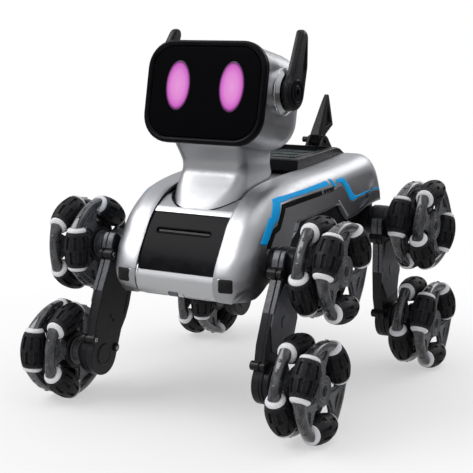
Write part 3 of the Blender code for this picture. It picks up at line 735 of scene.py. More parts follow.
def leg_outline():
    """Leg seen from the side, hip at the origin and ankle at z = -LEG; y points to the tail."""
    hip = arc(13.4, radians(-30), radians(155), 14)
    front = [(-17.6, 7), (-19.4, 4.5), (-19.8, -2), (-18.4, -8), (-16.6, -14), (-17.6, -24), (-19, -38),
             (-19.3, -62)]
    ankle = arc(16, radians(165), 2 * pi, 16, 0, -LEG)
    rear = [(15.6, -62), (18.4, -52), (19.2, -42), (18.6, -31), (16.2, -20)]
    return hip + front + ankle + rear


def crescent(y, z, height, width, bow, steps=10):
    """A slot bent like a bracket, open to the tail."""
    outer, inner = [], []
    for i in range(steps + 1):
        s = 2 * i / steps - 1
        fat = width / 2 * sqrt(max(0.02, 1 - s ** 6))
        middle = y - bow * (1 - s * s)
        outer.append((middle - fat, z + s * height / 2))
        inner.append((middle + fat, z + s * height / 2))
    return outer + inner[::-1]


def build_leg(end, hand):
    side = SIDES[hand]
    label = f"{end}_{hand}"
    _, y, z = JOINTS[f"hip_{label}"]["pos_m"]
    place = Matrix.Translation((0, y, z)) @ Matrix.Rotation(-LEANS[end], 4, "X")
    ride = {"body": f"leg_{label}", "side": side, "place": place}

    case = prism(leg_outline(), LEG_IN, LEG_SPLIT - 0.25)
    piece(f"leg_case_{label}", case, BLACK, node=f"leg_inner_{label}", edge=0.8, **ride)
    cover = prism(leg_outline(), LEG_SPLIT + 0.25, LEG_FACE)
    for radius, top_radius, height in ((13.2, 12.2, 0), (15, 13.9, -LEG)):
        lathe([(LEG_FACE - 1, radius), (LEG_OUT - 1.2, radius), (LEG_OUT, top_radius), (LEG_OUT, 3.4),
               (LEG_FACE - 1, 3.4)], 0, height, loop=True, bm=cover)
    piece(f"leg_cover_{label}", cover, BLACK, node=f"leg_outer_{label}", edge=0.6, **ride)
    core = [(0.985 * u, -LEG / 2 + 0.985 * (v + LEG / 2)) for u, v in leg_outline()]
    piece(f"leg_core_{label}", prism(core, LEG_SPLIT - 0.9, LEG_SPLIT + 0.9), SATIN, **ride)

    half = [(9, -15), (13, -23), (18.6, -34), (18.6, -47), (13.4, -56), (9, -64)]
    shield = prism(half + [(-u, v) for u, v in reversed(half)], LEG_FACE - 0.3, LEG_FACE + 0.9)
    plate = piece(f"leg_plate_{label}", shield, GREY, edge=0.3, **ride)
    cut(plate, prism(crescent(-2, -41, 9.5, 2.2, 2.4), LEG_FACE - 2, LEG_FACE + 3), side)

    # hip boss towards the body, with its collar
    boss = [(62.2, 12.2), (62.8, 13.2), (65.2, 13.4), (65.6, 12.9), (66, 12.9), (66.4, 13.4),
            (LEG_IN + 0.6, 13.4), (LEG_IN + 0.6, 5.9), (62.2, 5.9)]
    piece(f"hip_boss_{label}", lathe(boss, count=48, loop=True), SATIN, **ride)

    # two strips side by side on the front edge, below and above the front screw post; their lighter grey is
    # a painted highlight for the sheen of the black edge
    bm = bmesh.new()
    for line in ([(-17.3, -14.5), (-17.9, -24), (-19.1, -36.5), (-19.2, -39)],
                 [(-18.2, 6.4), (-19.6, 3.8), (-20, -2), (-19.2, -6)]):
        outline = [(u - 0.35, v) for u, v in line] + [(u + 2, v) for u, v in reversed(line)]
        for x0, x1 in ((LEG_IN + 0.7, LEG_SPLIT - 1), (LEG_SPLIT - 0.1, LEG_FACE + 0.9)):
            prism(outline, x0, x1, bm)
    piece(f"leg_strips_{label}", bm, STRIP, edge=0.3, **ride)

    # screw posts: two short barrels end to end at each place
    bm = bmesh.new()
    heads = bmesh.new()
    for u, v, r in ((-17.6, -10.2, 4), (-16.8, -75.8, 3.4), (12.6, -76.8, 3.2)):
        for x0, x1 in ((LEG_IN - 1.6, LEG_SPLIT - 0.8), (LEG_SPLIT + 0.5, LEG_FACE + 1.8)):
            lathe([(x0, r - 0.6), (x0 + 0.5, r), (x1 - 0.5, r), (x1, r - 0.6)], u, v, 24, bm=bm)
        lathe([(LEG_SPLIT - 1.4, r - 0.9), (LEG_SPLIT + 1.2, r - 0.9)], u, v, 20, bm=bm)
        add_screw(heads, LEG_IN - 1, LEG_IN - 2.1, u, v, r * 0.52)
    piece(f"leg_posts_{label}", bm, SATIN, **ride)

    # round cap, dimples and a ridge on the inner face
    cap = [(0.5, 8.6), (-0.5, 8.4), (-0.9, 7.9), (-0.9, 6.8), (-0.5, 6.4), (-0.5, 0.4)]
    dimple = [(0.4, 1.5), (-0.35, 1.4), (-0.45, 1.1), (-0.1, 0.7), (-0.1, 0.1)]
    bm = lathe([(LEG_IN + d, r) for d, r in cap], 0, -LEG)
    for u, v in ((4, -22), (7.5, -25), (-2, -55), (2.5, -57.5)):
        lathe([(LEG_IN + d, r) for d, r in dimple], u, v, 18, bm=bm)
    ridge = [(12.2, -18), (13.6, -18), (15.6, -34), (15.6, -50), (14.2, -50), (14.2, -34)]
    prism(ridge, LEG_IN - 0.4, LEG_IN + 0.4, bm)
    piece(f"leg_marks_{label}", bm, BLACK, **ride)
    for u, v in ((0, 9.2), (9.2, -2), (-9.2, -2)):
        add_screw(heads, 62.6, 61.7, u, v, 1.5)
    piece(f"leg_screws_{label}", heads, STEEL, **ride)


# -------------------- body

def shell_columns():
    """(parameter, groove depth) along the rim, with a fine groove across the front."""
    columns = [(i / 5, 0) for i in range(5 * (len(SHELL_RIM) - 1) + 1)]
    columns += [(2.52, 0), (2.545, 0.55), (2.575, 0.55), (2.62, 0)]
    return sorted(columns)


def rim_at(t):
    last = len(SHELL_RIM) - 1
    i = min(int(t), last - 1)
    return spline([SHELL_RIM[min(max(i + k, 0), last)] for k in (-1, 0, 1, 2)], t - i)


def hem_at(t):
    i = min(int(t), len(SHELL_HEM) - 2)
    (y0, z0), (y1, z1) = SHELL_HEM[i:i + 2]
    return y0 + (y1 - y0) * (t - i), z0 + (z1 - z0) * (t - i)


def shell_column(t, groove):
    """Points of the left shell's skin at t, from the seam over the rounded edge and the side to the hem."""
    y, z, half, r = rim_at(t)
    into = inward(rim_at(max(t - 0.02, 0)), rim_at(min(t + 0.02, len(SHELL_RIM) - 1)))
    line = []
    for k in range(6):
        sunk = groove + (0.5 if k == 0 else 0)
        line.append((SEAM_X + (half - r - SEAM_X) * k / 6, y + into.x * sunk, z + into.y * sunk))
    for k in range(10):
        a = radians(10 * k)
        sunk = groove if k < 9 else 0
        drop = r * (1 - cos(a)) + sunk * cos(a)
        line.append((half - r + (r - sunk) * sin(a), y + into.x * drop, z + into.y * drop))
    start, hem = Vector(line[-1]), Vector((half, *hem_at(t)))
    bend = start + Vector((0, into.x, into.y)) * (hem - start).length * 0.45
    for k in range(1, 9):
        line.append(start.lerp(bend, k / 8).lerp(bend.lerp(hem, k / 8), k / 8))
    return line


def shell_surface():
    """The left shell's outer skin, its lower front corner turned under in one soft sweep."""
    bm = bmesh.new()
    grid = [[bm.verts.new(point) for point in shell_column(t, groove)] for t, groove in shell_columns()]
    for left, right in zip(grid, grid[1:]):
        for corners in zip(left, left[1:], right[1:], right):
            bm.faces.new(corners)
    inner = [v for v in bm.verts if not v.is_boundary]
    for turn in range(SOFT_TURNS):
        reach = SOFT_REACH * (1 - 0.6 * turn / SOFT_TURNS)
        corner = [v for v in inner if (v.co - SOFT_CORNER).length < reach]
        bmesh.ops.smooth_vert(bm, verts=corner, factor=0.5,
                              use_axis_x=True, use_axis_y=True, use_axis_z=True)
    bm.normal_update()
    flat = max(bm.faces, key=lambda face: abs(face.normal.x))
    if flat.normal.x < 0:
        bmesh.ops.reverse_faces(bm, faces=bm.faces)
    return bm


SKIN = BVHTree.FromBMesh(shell_surface())


def decal(name, outline, mat, side, lift, slot=""):
    """A thin printed film in the shape of a (y, z) outline, laid on a shell's side."""
    bm = bmesh.new()
    bm.faces.new([bm.verts.new((0, y, z)) for y, z in outline])
    ys, zs = zip(*outline)
    for normal, places, step in ((Vector((0, 1, 0)), ys, 2), (Vector((0, 0, 1)), zs, 1.3)):
        low, high = min(places), max(places)
        count = int((high - low) / step)
        for i in range(1, count + 1):
            bmesh.ops.bisect_plane(bm, geom=bm.verts[:] + bm.edges[:] + bm.faces[:], plane_no=normal,
                                   plane_co=normal * (low + (high - low) * i / (count + 1)))
    bmesh.ops.triangulate(bm, faces=bm.faces)
    for vert in bm.verts:
        hit, normal, _, _ = SKIN.ray_cast(Vector((90, vert.co.y, vert.co.z)), Vector((-1, 0, 0)), 70)
        if hit is None:
            hit, normal, _, _ = SKIN.find_nearest(Vector((60, vert.co.y, vert.co.z)))
        vert.co = hit + normal * lift
    bm.normal_update()
    if sum(face.normal.x for face in bm.faces) < 0:
        bmesh.ops.reverse_faces(bm, faces=bm.faces)
    film = piece(name, bm, mat, side, 60, sheet=True, slot=slot)
    thicken(film, lift + 0.12)


def build_markings():
    """The printed stripes on the shells' sides, with plain ticks in place of lettering."""
    blue_front = [(-92, 132.6), (-87.6, 138.4), (-87, 139.2), (-78.6, 149), (-76.2, 149.4),
                  (-66.5, 160.8), (-61, 161.8), (13.6, 165.4), (17.6, 161.6), (-44.8, 159.4),
                  (-61.4, 157.8), (-69, 145.6), (-72.2, 145.4), (-76, 141.6), (-80.4, 135.6), (-86, 130.6)]
    blue_bar = [(17.4, 165.8), (21.8, 165.8), (29.6, 159.2), (25, 159.2)]
    blue_rear = [(29, 161.6), (31, 164.6), (42.6, 164.8), (51.2, 158.2), (60.2, 149.6), (66.6, 146.8),
                 (104, 149), (120, 146.6), (120, 145.2), (104, 147.4), (67, 144.9), (60, 143.6),
                 (54.6, 146.2), (45, 156.4), (38, 161.4)]
    outline = [(-86, 128.4), (-79.4, 137.6), (-76.4, 140.8), (-69, 143), (-60.4, 156.6), (-45, 157.8),
               (2, 159.2), (4.4, 155.4), (-56.8, 153.4), (-64.2, 140.4), (-66, 138.6), (-72.6, 137),
               (-80.2, 127.4)]
    grey = [(-85, 124.5), (-80.5, 130.5), (-73, 139), (-65.4, 141), (-57.4, 154.3), (2, 156.3), (25, 157.6),
            (37.5, 159.6), (44, 155.6), (54, 145.6), (60, 143.1), (67, 144.3), (104, 146.8), (120, 144.6),
            (120.5, 138.4), (108, 138), (90, 137), (70, 132.6), (52, 131.2), (34, 145.6), (10, 143.6),
            (-38, 141.6), (-40.4, 140.6), (-57.6, 115.2), (-66, 108.4), (-74, 106.2), (-82, 106.8)]
    edge = [(33, 147.2), (34.6, 147.4), (52.6, 132.6), (52, 131.4), (50.8, 131.8)]
    films = (("blue_front", blue_front, BLUE, 0.26), ("blue_bar", blue_bar, BLUE, 0.26),
             ("blue_rear", blue_rear, BLUE, 0.26), ("outline", outline, INK, 0.3),
             ("edge", edge, BRIGHT, 0.3))
    for hand, side in SIDES.items():
        # grey print, darkened towards the rear by painted shade
        decal(f"mark_grey_{hand}", grey, SHADE, side, 0.14, "grey_plastic")
        for kind, shape, mat, lift in films:
            decal(f"mark_{kind}_{hand}", shape, mat, side, lift)
        for i in range(7):
            y, z = 5.4 + 2.75 * i, 155.6 + 0.05 * i
            tick = [(y, z), (y + 1.5, z + 3.6), (y + 3, z + 3.6), (y + 1.5, z)]
            decal(f"mark_tick_{hand}_{i}", tick, INK, side, 0.3)


def on_shell_front(u, v, lift):
    """The point of the left shell's front over (u, v) from the foot pad's middle."""
    hit, normal, _, _ = SKIN.ray_cast(Vector((43.2 + u, -150, 104.6 + v)), Vector((0, 1, 0)))
    return hit + normal * lift


def build_shells():
    hip_y, hip_z = (value / MM for value in JOINTS["hip_front_left"]["pos_m"][1:])
    flange = [(59, 12.9), (60.6, 12.9), (60.9, 12.6), (60.9, 12.3), (59, 12.3)]
    for hand, side in SIDES.items():
        shell = piece(f"side_shell_{hand}", shell_surface(), SILVER, side, sheet=True,
                      node=f"body_shell_{hand}")
        thicken(shell, WALL)
        bevel(shell, 0.35)
        # rubber pad in the foot of the shell
        rings = [[on_shell_front(u, v, lift) for u, v in rounded_rect(10.6 * s, 9.8 * s, 1.5 * s, 4)]
                 for lift, s in ((-2, 1), (0.3, 1), (0.62, 0.94), (0.7, 0.82), (0.72, 0.5), (0.72, 0.2))]
        piece(f"foot_pad_{hand}", loft(rings), PAD, side)
        # flange of the front hip that closes the shell's opening
        piece(f"hip_ring_{hand}", lathe(flange, hip_y, hip_z, 48, loop=True), SATIN, side)


COWL_TOP = curve([(-88.5, 149.2), (-84, 152.6), (-76, 157), (-66, 160), (-30, 165), (13, 168)], 6)


def on_chest(u, v, depth):
    """A point of the chest panel: u across and v up from its slot's middle, depth out of the panel."""
    up, out = Vector((0, 0.555, 0.832)), Vector((0, -0.832, 0.555))
    return CHEST_SLOT + Vector((u, 0, 0)) + up * v + out * depth


def build_chest():
    line = curve([(-112.85, 109.8), (-109, 119), (-103, 130), (-96, 140.5), (-89, 148.4)], 6)
    chest = piece("chest_front", prism(strip(line, WALL), -PANEL_HALF, PANEL_HALF), GLOSS,
                  node="chest_panel", edge=0.5, rings=3)
    cut(chest, loft(slab(SLOT_SIZE, 1.45, ((0, -4), (0, 4)), on_chest)))
    # raised lip round the slot and the dark bar inside it
    lip = ((-1.1, -0.6), (-1.1, 0.15), (-0.7, 0.35), (-0.2, 0.2), (0, -0.3), (0, -0.6))
    piece("chest_slot_rim", loft(slab(SLOT_SIZE, 1.45, lip, on_chest, 1, 6), loop=True), GLOSS)
    bar = ((0, -2.4), (0, -1.2), (0.5, -0.8))
    piece("chest_slot_bar", loft(slab((44, 2.4), 1.1, bar, on_chest, 1, 6)), BLACK)


def build_cowl():
    top = piece("cowl_top", prism(strip(COWL_TOP, WALL), -PANEL_HALF, PANEL_HALF), SILVER,
                node="chest_cowl", edge=0.4)
    cut(top, loft([neck_ring(31.8, -86.4, -9.6, z, z, 27.4) for z in (140, 180)]))
    # bright border strip above the chest panel
    border = [(-89.1, 149), (-88.7, 149.6), (-85, 152.5), (-84.4, 152.1), (-85.2, 150.6), (-88.3, 148.2)]
    piece("cowl_trim", prism(border, 0.2 - PANEL_HALF, PANEL_HALF - 0.2), BRIGHT, edge=0.2)


def build_bumper():
    # dark web behind the seam between the chest panel and the bumper
    web = [(-111, 106), (-109, 106), (-106.6, 114), (-108.8, 114)]
    piece("seam_web", prism(web, 0.6 - PANEL_HALF, PANEL_HALF - 0.6), SATIN)
    line = curve([(-82, 99.5), (-96, 92.6), (-108, 91), (-113, 95.5), (-115, 103), (-113, 109.5)], 6)
    bumper = piece("bumper_shell", prism(strip(line, WALL), -PANEL_HALF, PANEL_HALF), BRIGHT,
                   node="bumper", edge=0.5, rings=3)
    cut(bumper, block(-7, 7, -118, -106.4, 88, 93.2))
    cut(bumper, block(-27, 27, -116, -113.8, 96.4, 97))
    latch = [(-111.4, 91.6), (-113.4, 93.4), (-113, 95.6), (-109, 96.4), (-107, 93)]
    piece("bumper_latch", prism(latch, -6.2, 1.6), GREY, slot="black_plastic", edge=0.4)
    catch = [(-110.8, 91.6), (-112.8, 93.2), (-112.4, 95.2), (-109, 96), (-107.4, 93)]
    piece("bumper_catch", prism(catch, 2.2, 6.4), POLISHED, edge=0.4)
    lip = [(-107.12, 90.98), (-109.72, 91.18), (-111.52, 92.78), (-110.72, 93.38), (-109.32, 92.08),
           (-107.12, 91.88)]
    piece("bumper_lips", prism(lip, -28, -9, prism(lip, 9, 28)), SILVER, edge=0.3)


def neck_ring(half, front, rear, z_front, z_rear, corner):
    """A rounded outline from front to rear, its height running from z_front to z_rear."""
    middle, depth = (front + rear) / 2, rear - front
    points = rounded_rect(2 * half, depth, corner, 8)
    return [(u, middle + v, z_front + (z_rear - z_front) * (v / depth + 0.5)) for u, v in points]


def on_cowl(ring, lift):
    """A ring's points, dropped onto the cowl's upper side and raised by lift."""
    steps = list(zip(COWL_TOP, COWL_TOP[1:]))
    placed = []
    for x, y, _ in ring:
        (y0, z0), (y1, z1) = next((step for step in steps if y <= step[1][0]), steps[-1])
        placed.append((x, y, z0 + (z1 - z0) * (y - y0) / (y1 - y0) + lift))
    return placed


def build_neck():
    half, front, rear = NECK_FOOT
    shape = [(*NECK_FOOT, 147, 166, NECK_CORNER), (*NECK_FOOT, 150.6, 168.6, NECK_CORNER),
             (31, -83, -10.6, 154, 170.2, 25.5), (30.4, -77.6, -11.6, 159.6, 171.8, 20),
             (29.6, -71.8, -12.8, 165.4, 173.2, 14), (28.8, -66.6, -13.9, 171.2, 174.8, 10),
             (28.1, -63, -15, 176.8, 177.2, 8.2), (28, -62.4, -16.3, 183.4, 180.4, 7.6),
             (28.7, -65.4, -17.8, 190.6, 183.6, 7.2), (29.4, -69.4, -19, 197.4, 187, 7),
             (29.6, -70.2, -18.6, 200.6, 190.6, 7)]
    piece("neck_column", loft([neck_ring(*p) for p in curve(shape)]), SILVER, angle=40, node="neck")
    # dark gasket between the neck's foot and the cowl
    rings = [on_cowl(neck_ring(half + grow, front - grow, rear + grow, 0, 0, NECK_CORNER + grow), lift)
             for grow, lift in ((-0.5, -2), (0.7, -2), (0.7, 0.12), (-0.5, 0.2))]
    piece("neck_gasket", loft(rings, loop=True), INK, slot="black_plastic")


def build_tray():
    outline = [(15, 170), (15, 178.4), (16.4, 179.6), (20, 180.2), (88, 183), (94, 181.6), (102, 177.4),
               (110, 175), (115, 171.4), (118.5, 166), (121.6, 158.6), (123, 151), (123.5, 137),
               (120.5, 137), (120, 149), (116, 163), (108, 171)]
    tray = piece("tray_body", prism(outline, -PANEL_HALF, PANEL_HALF), BLACK, node="back_tray",
                 edge=1.1, rings=3)
    middle = lying(0, TRAY_MID_Y)
    cut(tray, loft(slab((52, 66), 4, ((0, TRAY_TOP), (0, TRAY_TOP + 15)), middle)))
    levels = ((0, TRAY_TOP - 0.4), (0, TRAY_TOP + 1.6), (0.5, TRAY_TOP + 2))
    piece("tray_inlay", loft(slab((50.6, 64.6), 3.4, levels, middle)), INLAY)
    bm = bmesh.new()
    for x0, x1 in ((-25.6, -23.4), (23.4, 25.6)):
        block(x0, x1, 24, 85, 178.6, 181.2, bm)
    for y0 in (33, 51, 69):
        block(-23.2, 23.2, y0, y0 + 2.2, 178.7, 179.7, bm)
    piece("tray_ribs", bm, SATIN, edge=0.4)
    bm = bmesh.new()
    for x in (-20, 20):
        for y in (27.5, 81.5):
            stud([(178.8, 2.6), (180, 2.6), (180.5, 2.2), (180.5, 1.2), (179.6, 1)], lying(x, y), 20, bm)
    piece("tray_studs", bm, SATIN)
    # vent slots on the rear face, which leans forward above 151 mm
    bm = bmesh.new()
    for z in (143, 147, 151, 155):
        y = 123.4 - max(0, z - 151) * 0.3
        block(-18, 18, y - 1, y + 0.05, z, z + 1.3, bm)
    piece("tray_vents", bm, SATIN, edge=0.25)


def build_belly():
    """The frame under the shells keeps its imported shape, with rounded edges; ribs and a door are added."""
    kept = ((CHASSIS, BLACK, 1.6), ("battery_pack", WRAP, 0.6), ("power_switch", GREY, 0.25))
    for node, mat, width in kept:
        obj = frame["nodes"][node]
        obj.data.materials.clear()
        obj.data.materials.append(mat)
        bevel(obj, width)
    levels = ((0, BELLY_Z + 2.4), (0, BELLY_Z + 0.5), (0.5, BELLY_Z))
    piece("battery_door", loft(slab((48, 79), 4, levels, lying(0, BATTERY_MID_Y))), BLACK,
          node="battery_cover")
    bm = bmesh.new()
    for i in range(9):
        block(-14, 14, -24 + 3.4 * i, -22.4 + 3.4 * i, 103.25, 104, bm)
    for x in (-20, 20):
        for y in (-28, 43):
            stud([(104.2, 2), (103.3, 2), (103.25, 1), (103.9, 0.8)], lying(x, y), bm=bm)
    piece("battery_door_grip", bm, SATIN)
    bm = bmesh.new()
    for side in (1, -1):
        for y in (-66, -44, 60, 84, 104):
            stud([(107, 3), (105.6, 3), (105.2, 2.6), (105.2, 1.5), (106, 1.3)], lying(side * 44, y), bm=bm)
        for y in (-58, -30, 0, 30, 60, 90):
            block(side * 30 - 1, side * 30 + 1, y, y + 20, 105.2, 106.4, bm)
    piece("belly_ribs", bm, BLACK, edge=0.2, rings=1)


def build_rear_plate():
    """A plate with four screws and the charging socket."""
    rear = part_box(CHASSIS)[1].y / MM
    plate = [(inset, rear + out) for inset, out in ((0, -0.5), (0, 0.7), (0.4, 1.1), (1.6, 1.1), (2, 0.7))]
    piece("rear_plate", loft(slab((84, 19), 3, plate, standing(0, REAR_PLATE_Z))), SATIN, angle=30)
    socket = [(inset, rear + out) for inset, out in ((0, 0.3), (0, 1.3), (0.7, 1.3), (0.7, 0.4))]
    rings = slab((10.6, 5), 2.4, socket, standing(24, REAR_PLATE_Z), 1)
    piece("charge_socket", loft(rings, loop=True), STEEL)
    bm = bmesh.new()
    head = [(rear + out, r) for out, r in ((0.4, 1.7), (1.2, 1.7), (1.45, 1.3), (1.45, 0.8), (0.9, 0.7))]
    for x in (-37, 37):
        for z in (113.6, 125.4):
            stud(head, standing(x, z), bm=bm)
    piece("rear_screws", bm, STEEL)


def build_sides():
    """Raised sills on the frame's sides, and the dark liners that close the arches behind the wheels."""
    sills = bmesh.new()
    liners = bmesh.new()
    arch = [(-62, 108), (-38, 137), (-36, 146), (30, 148), (52, 133), (52, 124), (30, 118), (-40, 116)]
    for side in (1, -1):
        x0, x1 = sorted((side * 52.6, side * 53.9))
        for y in (-44, -4, 36):
            block(x0, x1, y, y + 36, 108.6, 111.4, sills)
        x0, x1 = sorted((side * 52, side * 56.6))
        prism(arch, x0, x1, liners)
    piece("side_sills", sills, SATIN, edge=0.4)
    piece("arch_liner", liners, BLACK, edge=0.8)


# -------------------- head, ears, tail

def face_point(u, v, depth):
    """A point of the head: u to the dog's left, v up the face, depth back from the face."""
    forward = Vector((0, -cos(TILT), sin(TILT)))
    up = Vector((0, sin(TILT), cos(TILT)))
    return FACE_CENTRE + Vector((u, 0, 0)) + v * up - depth * forward


def face_rings(levels, smallest_corner=0):
    """Rings of the face's outline from (inset, depth) pairs, for the bezel and the glass."""
    rings = []
    for inset, depth in levels:
        corner = max(smallest_corner, FACE_CORNER - 0.8 * inset)
        outline = rounded_rect(FACE_W - 2 * inset, FACE_H - 2 * inset, corner)
        rings.append([face_point(u, v, depth) for u, v in outline])
    return rings


def head_ring(depth, shrink=0):
    """The head's outline at a depth; it closes in behind HEAD_ROUNDS_FROM."""
    t = max(0, (depth - HEAD_ROUNDS_FROM) / (HEAD_DEPTH - HEAD_ROUNDS_FROM))
    fall = 24 * (1 - sqrt(max(0, 1 - t * t)))
    half_w = FACE_W / 2 - 1.6 - fall - shrink
    half_h = FACE_H / 2 - 1.5 - fall - shrink
    corner = min(FACE_CORNER - 1 - shrink, half_h - 0.5)
    return [face_point(u, v, depth) for u, v in rounded_rect(2 * half_w, 2 * half_h, corner)]


def build_head():
    bezel = [(2, 6), (0.15, 6), (0, 5.4), (0, 2.4), (0.25, 1.1), (0.9, 0.3), (1.9, 0.02), (2.8, 0.2),
             (3.6, 0.7), (4.2, 1.5), (4.4, 2.6), (4.4, 6)]
    piece("face_frame", loft(face_rings(bezel), loop=True), GLOSS, angle=50, node="face_bezel")
    pane = [(4.5, 5), (4.5, 1.9), (4.9, 1.5), (6, 1.42), (20, 1.4), (33, 1.4)]
    piece("face_glass", loft(face_rings(pane, 2)), GLASS, angle=20, node="face_screen")
    oval = ((1, 1.6), (1, 1.35), (0.985, 1.31), (0.75, 1.3), (0.4, 1.3), (0.08, 1.3))
    for hand, side in SIDES.items():
        rings = [[(EYE_HALF_U * c, depth, EYE_HALF_V * s) for c, s in circle(share, 56)]
                 for share, depth in oval]
        centre = face_point(side * EYE_U, EYE_V, 0) * MM
        place = Matrix.Translation(centre) @ Matrix.Rotation(-TILT, 4, "X")
        piece(f"eye_{hand}", loft(rings), GLOW, angle=60, place=place)

    levels = [(6.4, 0.7), (6.6, 0.2), (7, 0), (7.3, 0), (8.6, 0), (9, 0), (18, 0), (30, 0), (40, 0)]
    levels += [(depth, 0) for depth in (48, 52, 56, 60, 64, 67.5, 70.5, 73, 75.2, 77, 78.4, 79.3, 79.85)]
    piece("head_case", loft([head_ring(*level) for level in levels]), SILVER, angle=40, node="head_shell")
    gap = [head_ring(*level) for level in ((6.1, 1.2), (6.1, 0.5), (6.5, 0.5), (6.5, 1.2))]
    piece("head_gap", loft(gap, loop=True), SATIN)
    # speaker slots on the back of the head, the middle one widest
    bm = bmesh.new()
    for i in range(-3, 4):
        outline = rounded_rect(18 - 1.2 * abs(i), 1.5, 0.7, 4)
        loft([[face_point(u * s, 3.2 * i + v * s, HEAD_DEPTH - d) for u, v in outline]
              for d, s in ((2, 1), (0.16, 1), (0.03, 0.93))], bm=bm)
    piece("head_rear_slots", bm, SATIN)


def ear_outline(shrink=0):
    """A blade leaning to the tail: an arc round the hub, an arc at the tip and straight sides."""
    hub_r, tip_r = 13.6 - shrink, 5.4 - shrink
    spread = atan2(hub_r - tip_r, EAR_LENGTH)
    axis = pi / 2 - EAR_LEAN
    reach = pi / 2 - spread
    hub = arc(hub_r, axis - reach, axis - reach - pi - 2 * spread, 30)
    tip = arc(tip_r, axis + reach, axis - reach, 14, EAR_LENGTH * cos(axis), EAR_LENGTH * sin(axis))
    rear = arc(hub_r, axis + pi / 2 + spread, 0, 1)[0]
    return hub + between(rear, tip[0], 7) + tip + between(tip[-1], hub[0], 7)


def build_ears():
    y, z = EAR_AXIS
    place = Matrix.Translation((0, y * MM, z * MM))
    pod = [(48.2, 17.2), (51.2, 17.5), (51.9, 17.3), (52.1, 16.9), (52.4, 16.9), (52.7, 16.6),
           (54.2, 14.9), (54.6, 14.3), (54.7, 3.6), (48.2, 3.6)]
    levels = ((55.2, 1), (55.5, 0.45), (56.1, 0.1), (57, 0), (59, 0), (60, 0.35), (60.7, 1), (61.15, 1.9),
              (61.35, 3), (61.4, 3.6))
    dial = [(60.9, 9.2), (61.9, 9.2), (62.3, 8.7), (62.3, 7.4), (61.6, 6.8), (61.6, 5.2), (62, 4.8),
            (62.2, 4), (62.2, 2.3), (61.4, 2)]
    for hand, side in SIDES.items():
        piece(f"ear_ring_{hand}", lathe(pod, y, z, 64, loop=True), POLISHED, side, node=f"ear_pod_{hand}")
        ride = {"body": f"ear_{hand}", "side": side, "place": place}
        # the blade thins towards its tip
        rings = [[(x - 0.125 * max(0, v - 18), u, v) for u, v in ear_outline(inset)] for x, inset in levels]
        piece(f"ear_blade_{hand}", loft(rings), SATIN, angle=60, node=f"ear_{hand}", **ride)
        piece(f"ear_dial_{hand}", lathe(dial, count=48), GLOSS, **ride)


def fin_share(height):
    """The fin's thickness at a height above its pin, as a share of what it is at the pin."""
    return 1 - FIN_TAPER * max(0, height) / FIN_HEIGHT


def build_tail():
    y, z = TAIL_PIN
    foot = [(105, 178.4), (109.4, 181.6), (112.6, 186.2), (114.4, 188.4), (117, 189.2), (119.6, 188.4),
            (122.6, 185.6), (127, 181.2), (130, 178), (129.4, 176), (122, 176), (116.6, 176.6)]
    bracket = piece("tail_bracket", prism(foot, -8, 8), TAIL, node="tail_base", edge=0.6)
    cut(bracket, block(-5.2, 5.2, 100, 135, 180.4, 195))
    pin = [(-14, 1.9), (-13.6, 2.5), (-9.4, 2.5), (-8.6, 1.8), (8.4, 1.8), (8.6, 2.6), (9.6, 2.4)]
    piece("tail_pin", lathe(pin, y, z, 24), TAIL)
    piece("tail_pin_tip", lathe([(-14, 1.4), (-14.2, 1.3), (-14.2, 0.5)], y, z, 20), STEEL)

    ride = {"body": "tail_fin", "place": Matrix.Translation((0, y * MM, z * MM))}
    outline = [(-4, -2.2), (0, -4.2), (4, -2.2), (8.6, 4.6), (23.5, 11.5), (20.6, 27), (18.4, 37.4),
               (17.4, 38.5), (16.2, 38.3), (12, 33), (7, 26), (2.6, 19), (-2.6, 11.6), (-6.6, 5)]
    bm = prism(outline, -FIN_HALF, FIN_HALF)
    for vert in bm.verts:
        vert.co.x *= fin_share(vert.co.z)
    fin = piece("tail_blade", bm, TAIL, node="tail_fin", edge=0.45, **ride)
    cut(fin, prism([(9, 10.6), (19.6, 13.6), (15.4, 29.4)], -6, 6))
    # raised facets on both sides of the blade
    facet = ((-3.6, 4.6), (3.6, 16), (13.4, 31.6), (15.6, 34), (13.6, 27), (6.4, 9), (3, 3.6))
    middle_u, middle_v = 5.8, 17
    bm = bmesh.new()
    for side in (1, -1):
        rings = []
        for lift, s in ((-0.3, 1), (0.3, 0.96)):
            points = [(middle_u + (u - middle_u) * s, middle_v + (v - middle_v) * s) for u, v in facet]
            rings.append([(side * (FIN_HALF * fin_share(v) + lift), u, v) for u, v in points])
        loft(rings, bm=bm)
    piece("tail_facets", bm, TAIL, edge=0.15, **ride)
    collar = [(-4.6, 4.2), (-4.2, 4.7), (4.2, 4.7), (4.6, 4.2), (4.6, 2.2), (-4.6, 2.2)]
    piece("tail_collar", lathe(collar, count=28, loop=True), TAIL, **ride)


# -------------------- stage, light, camera

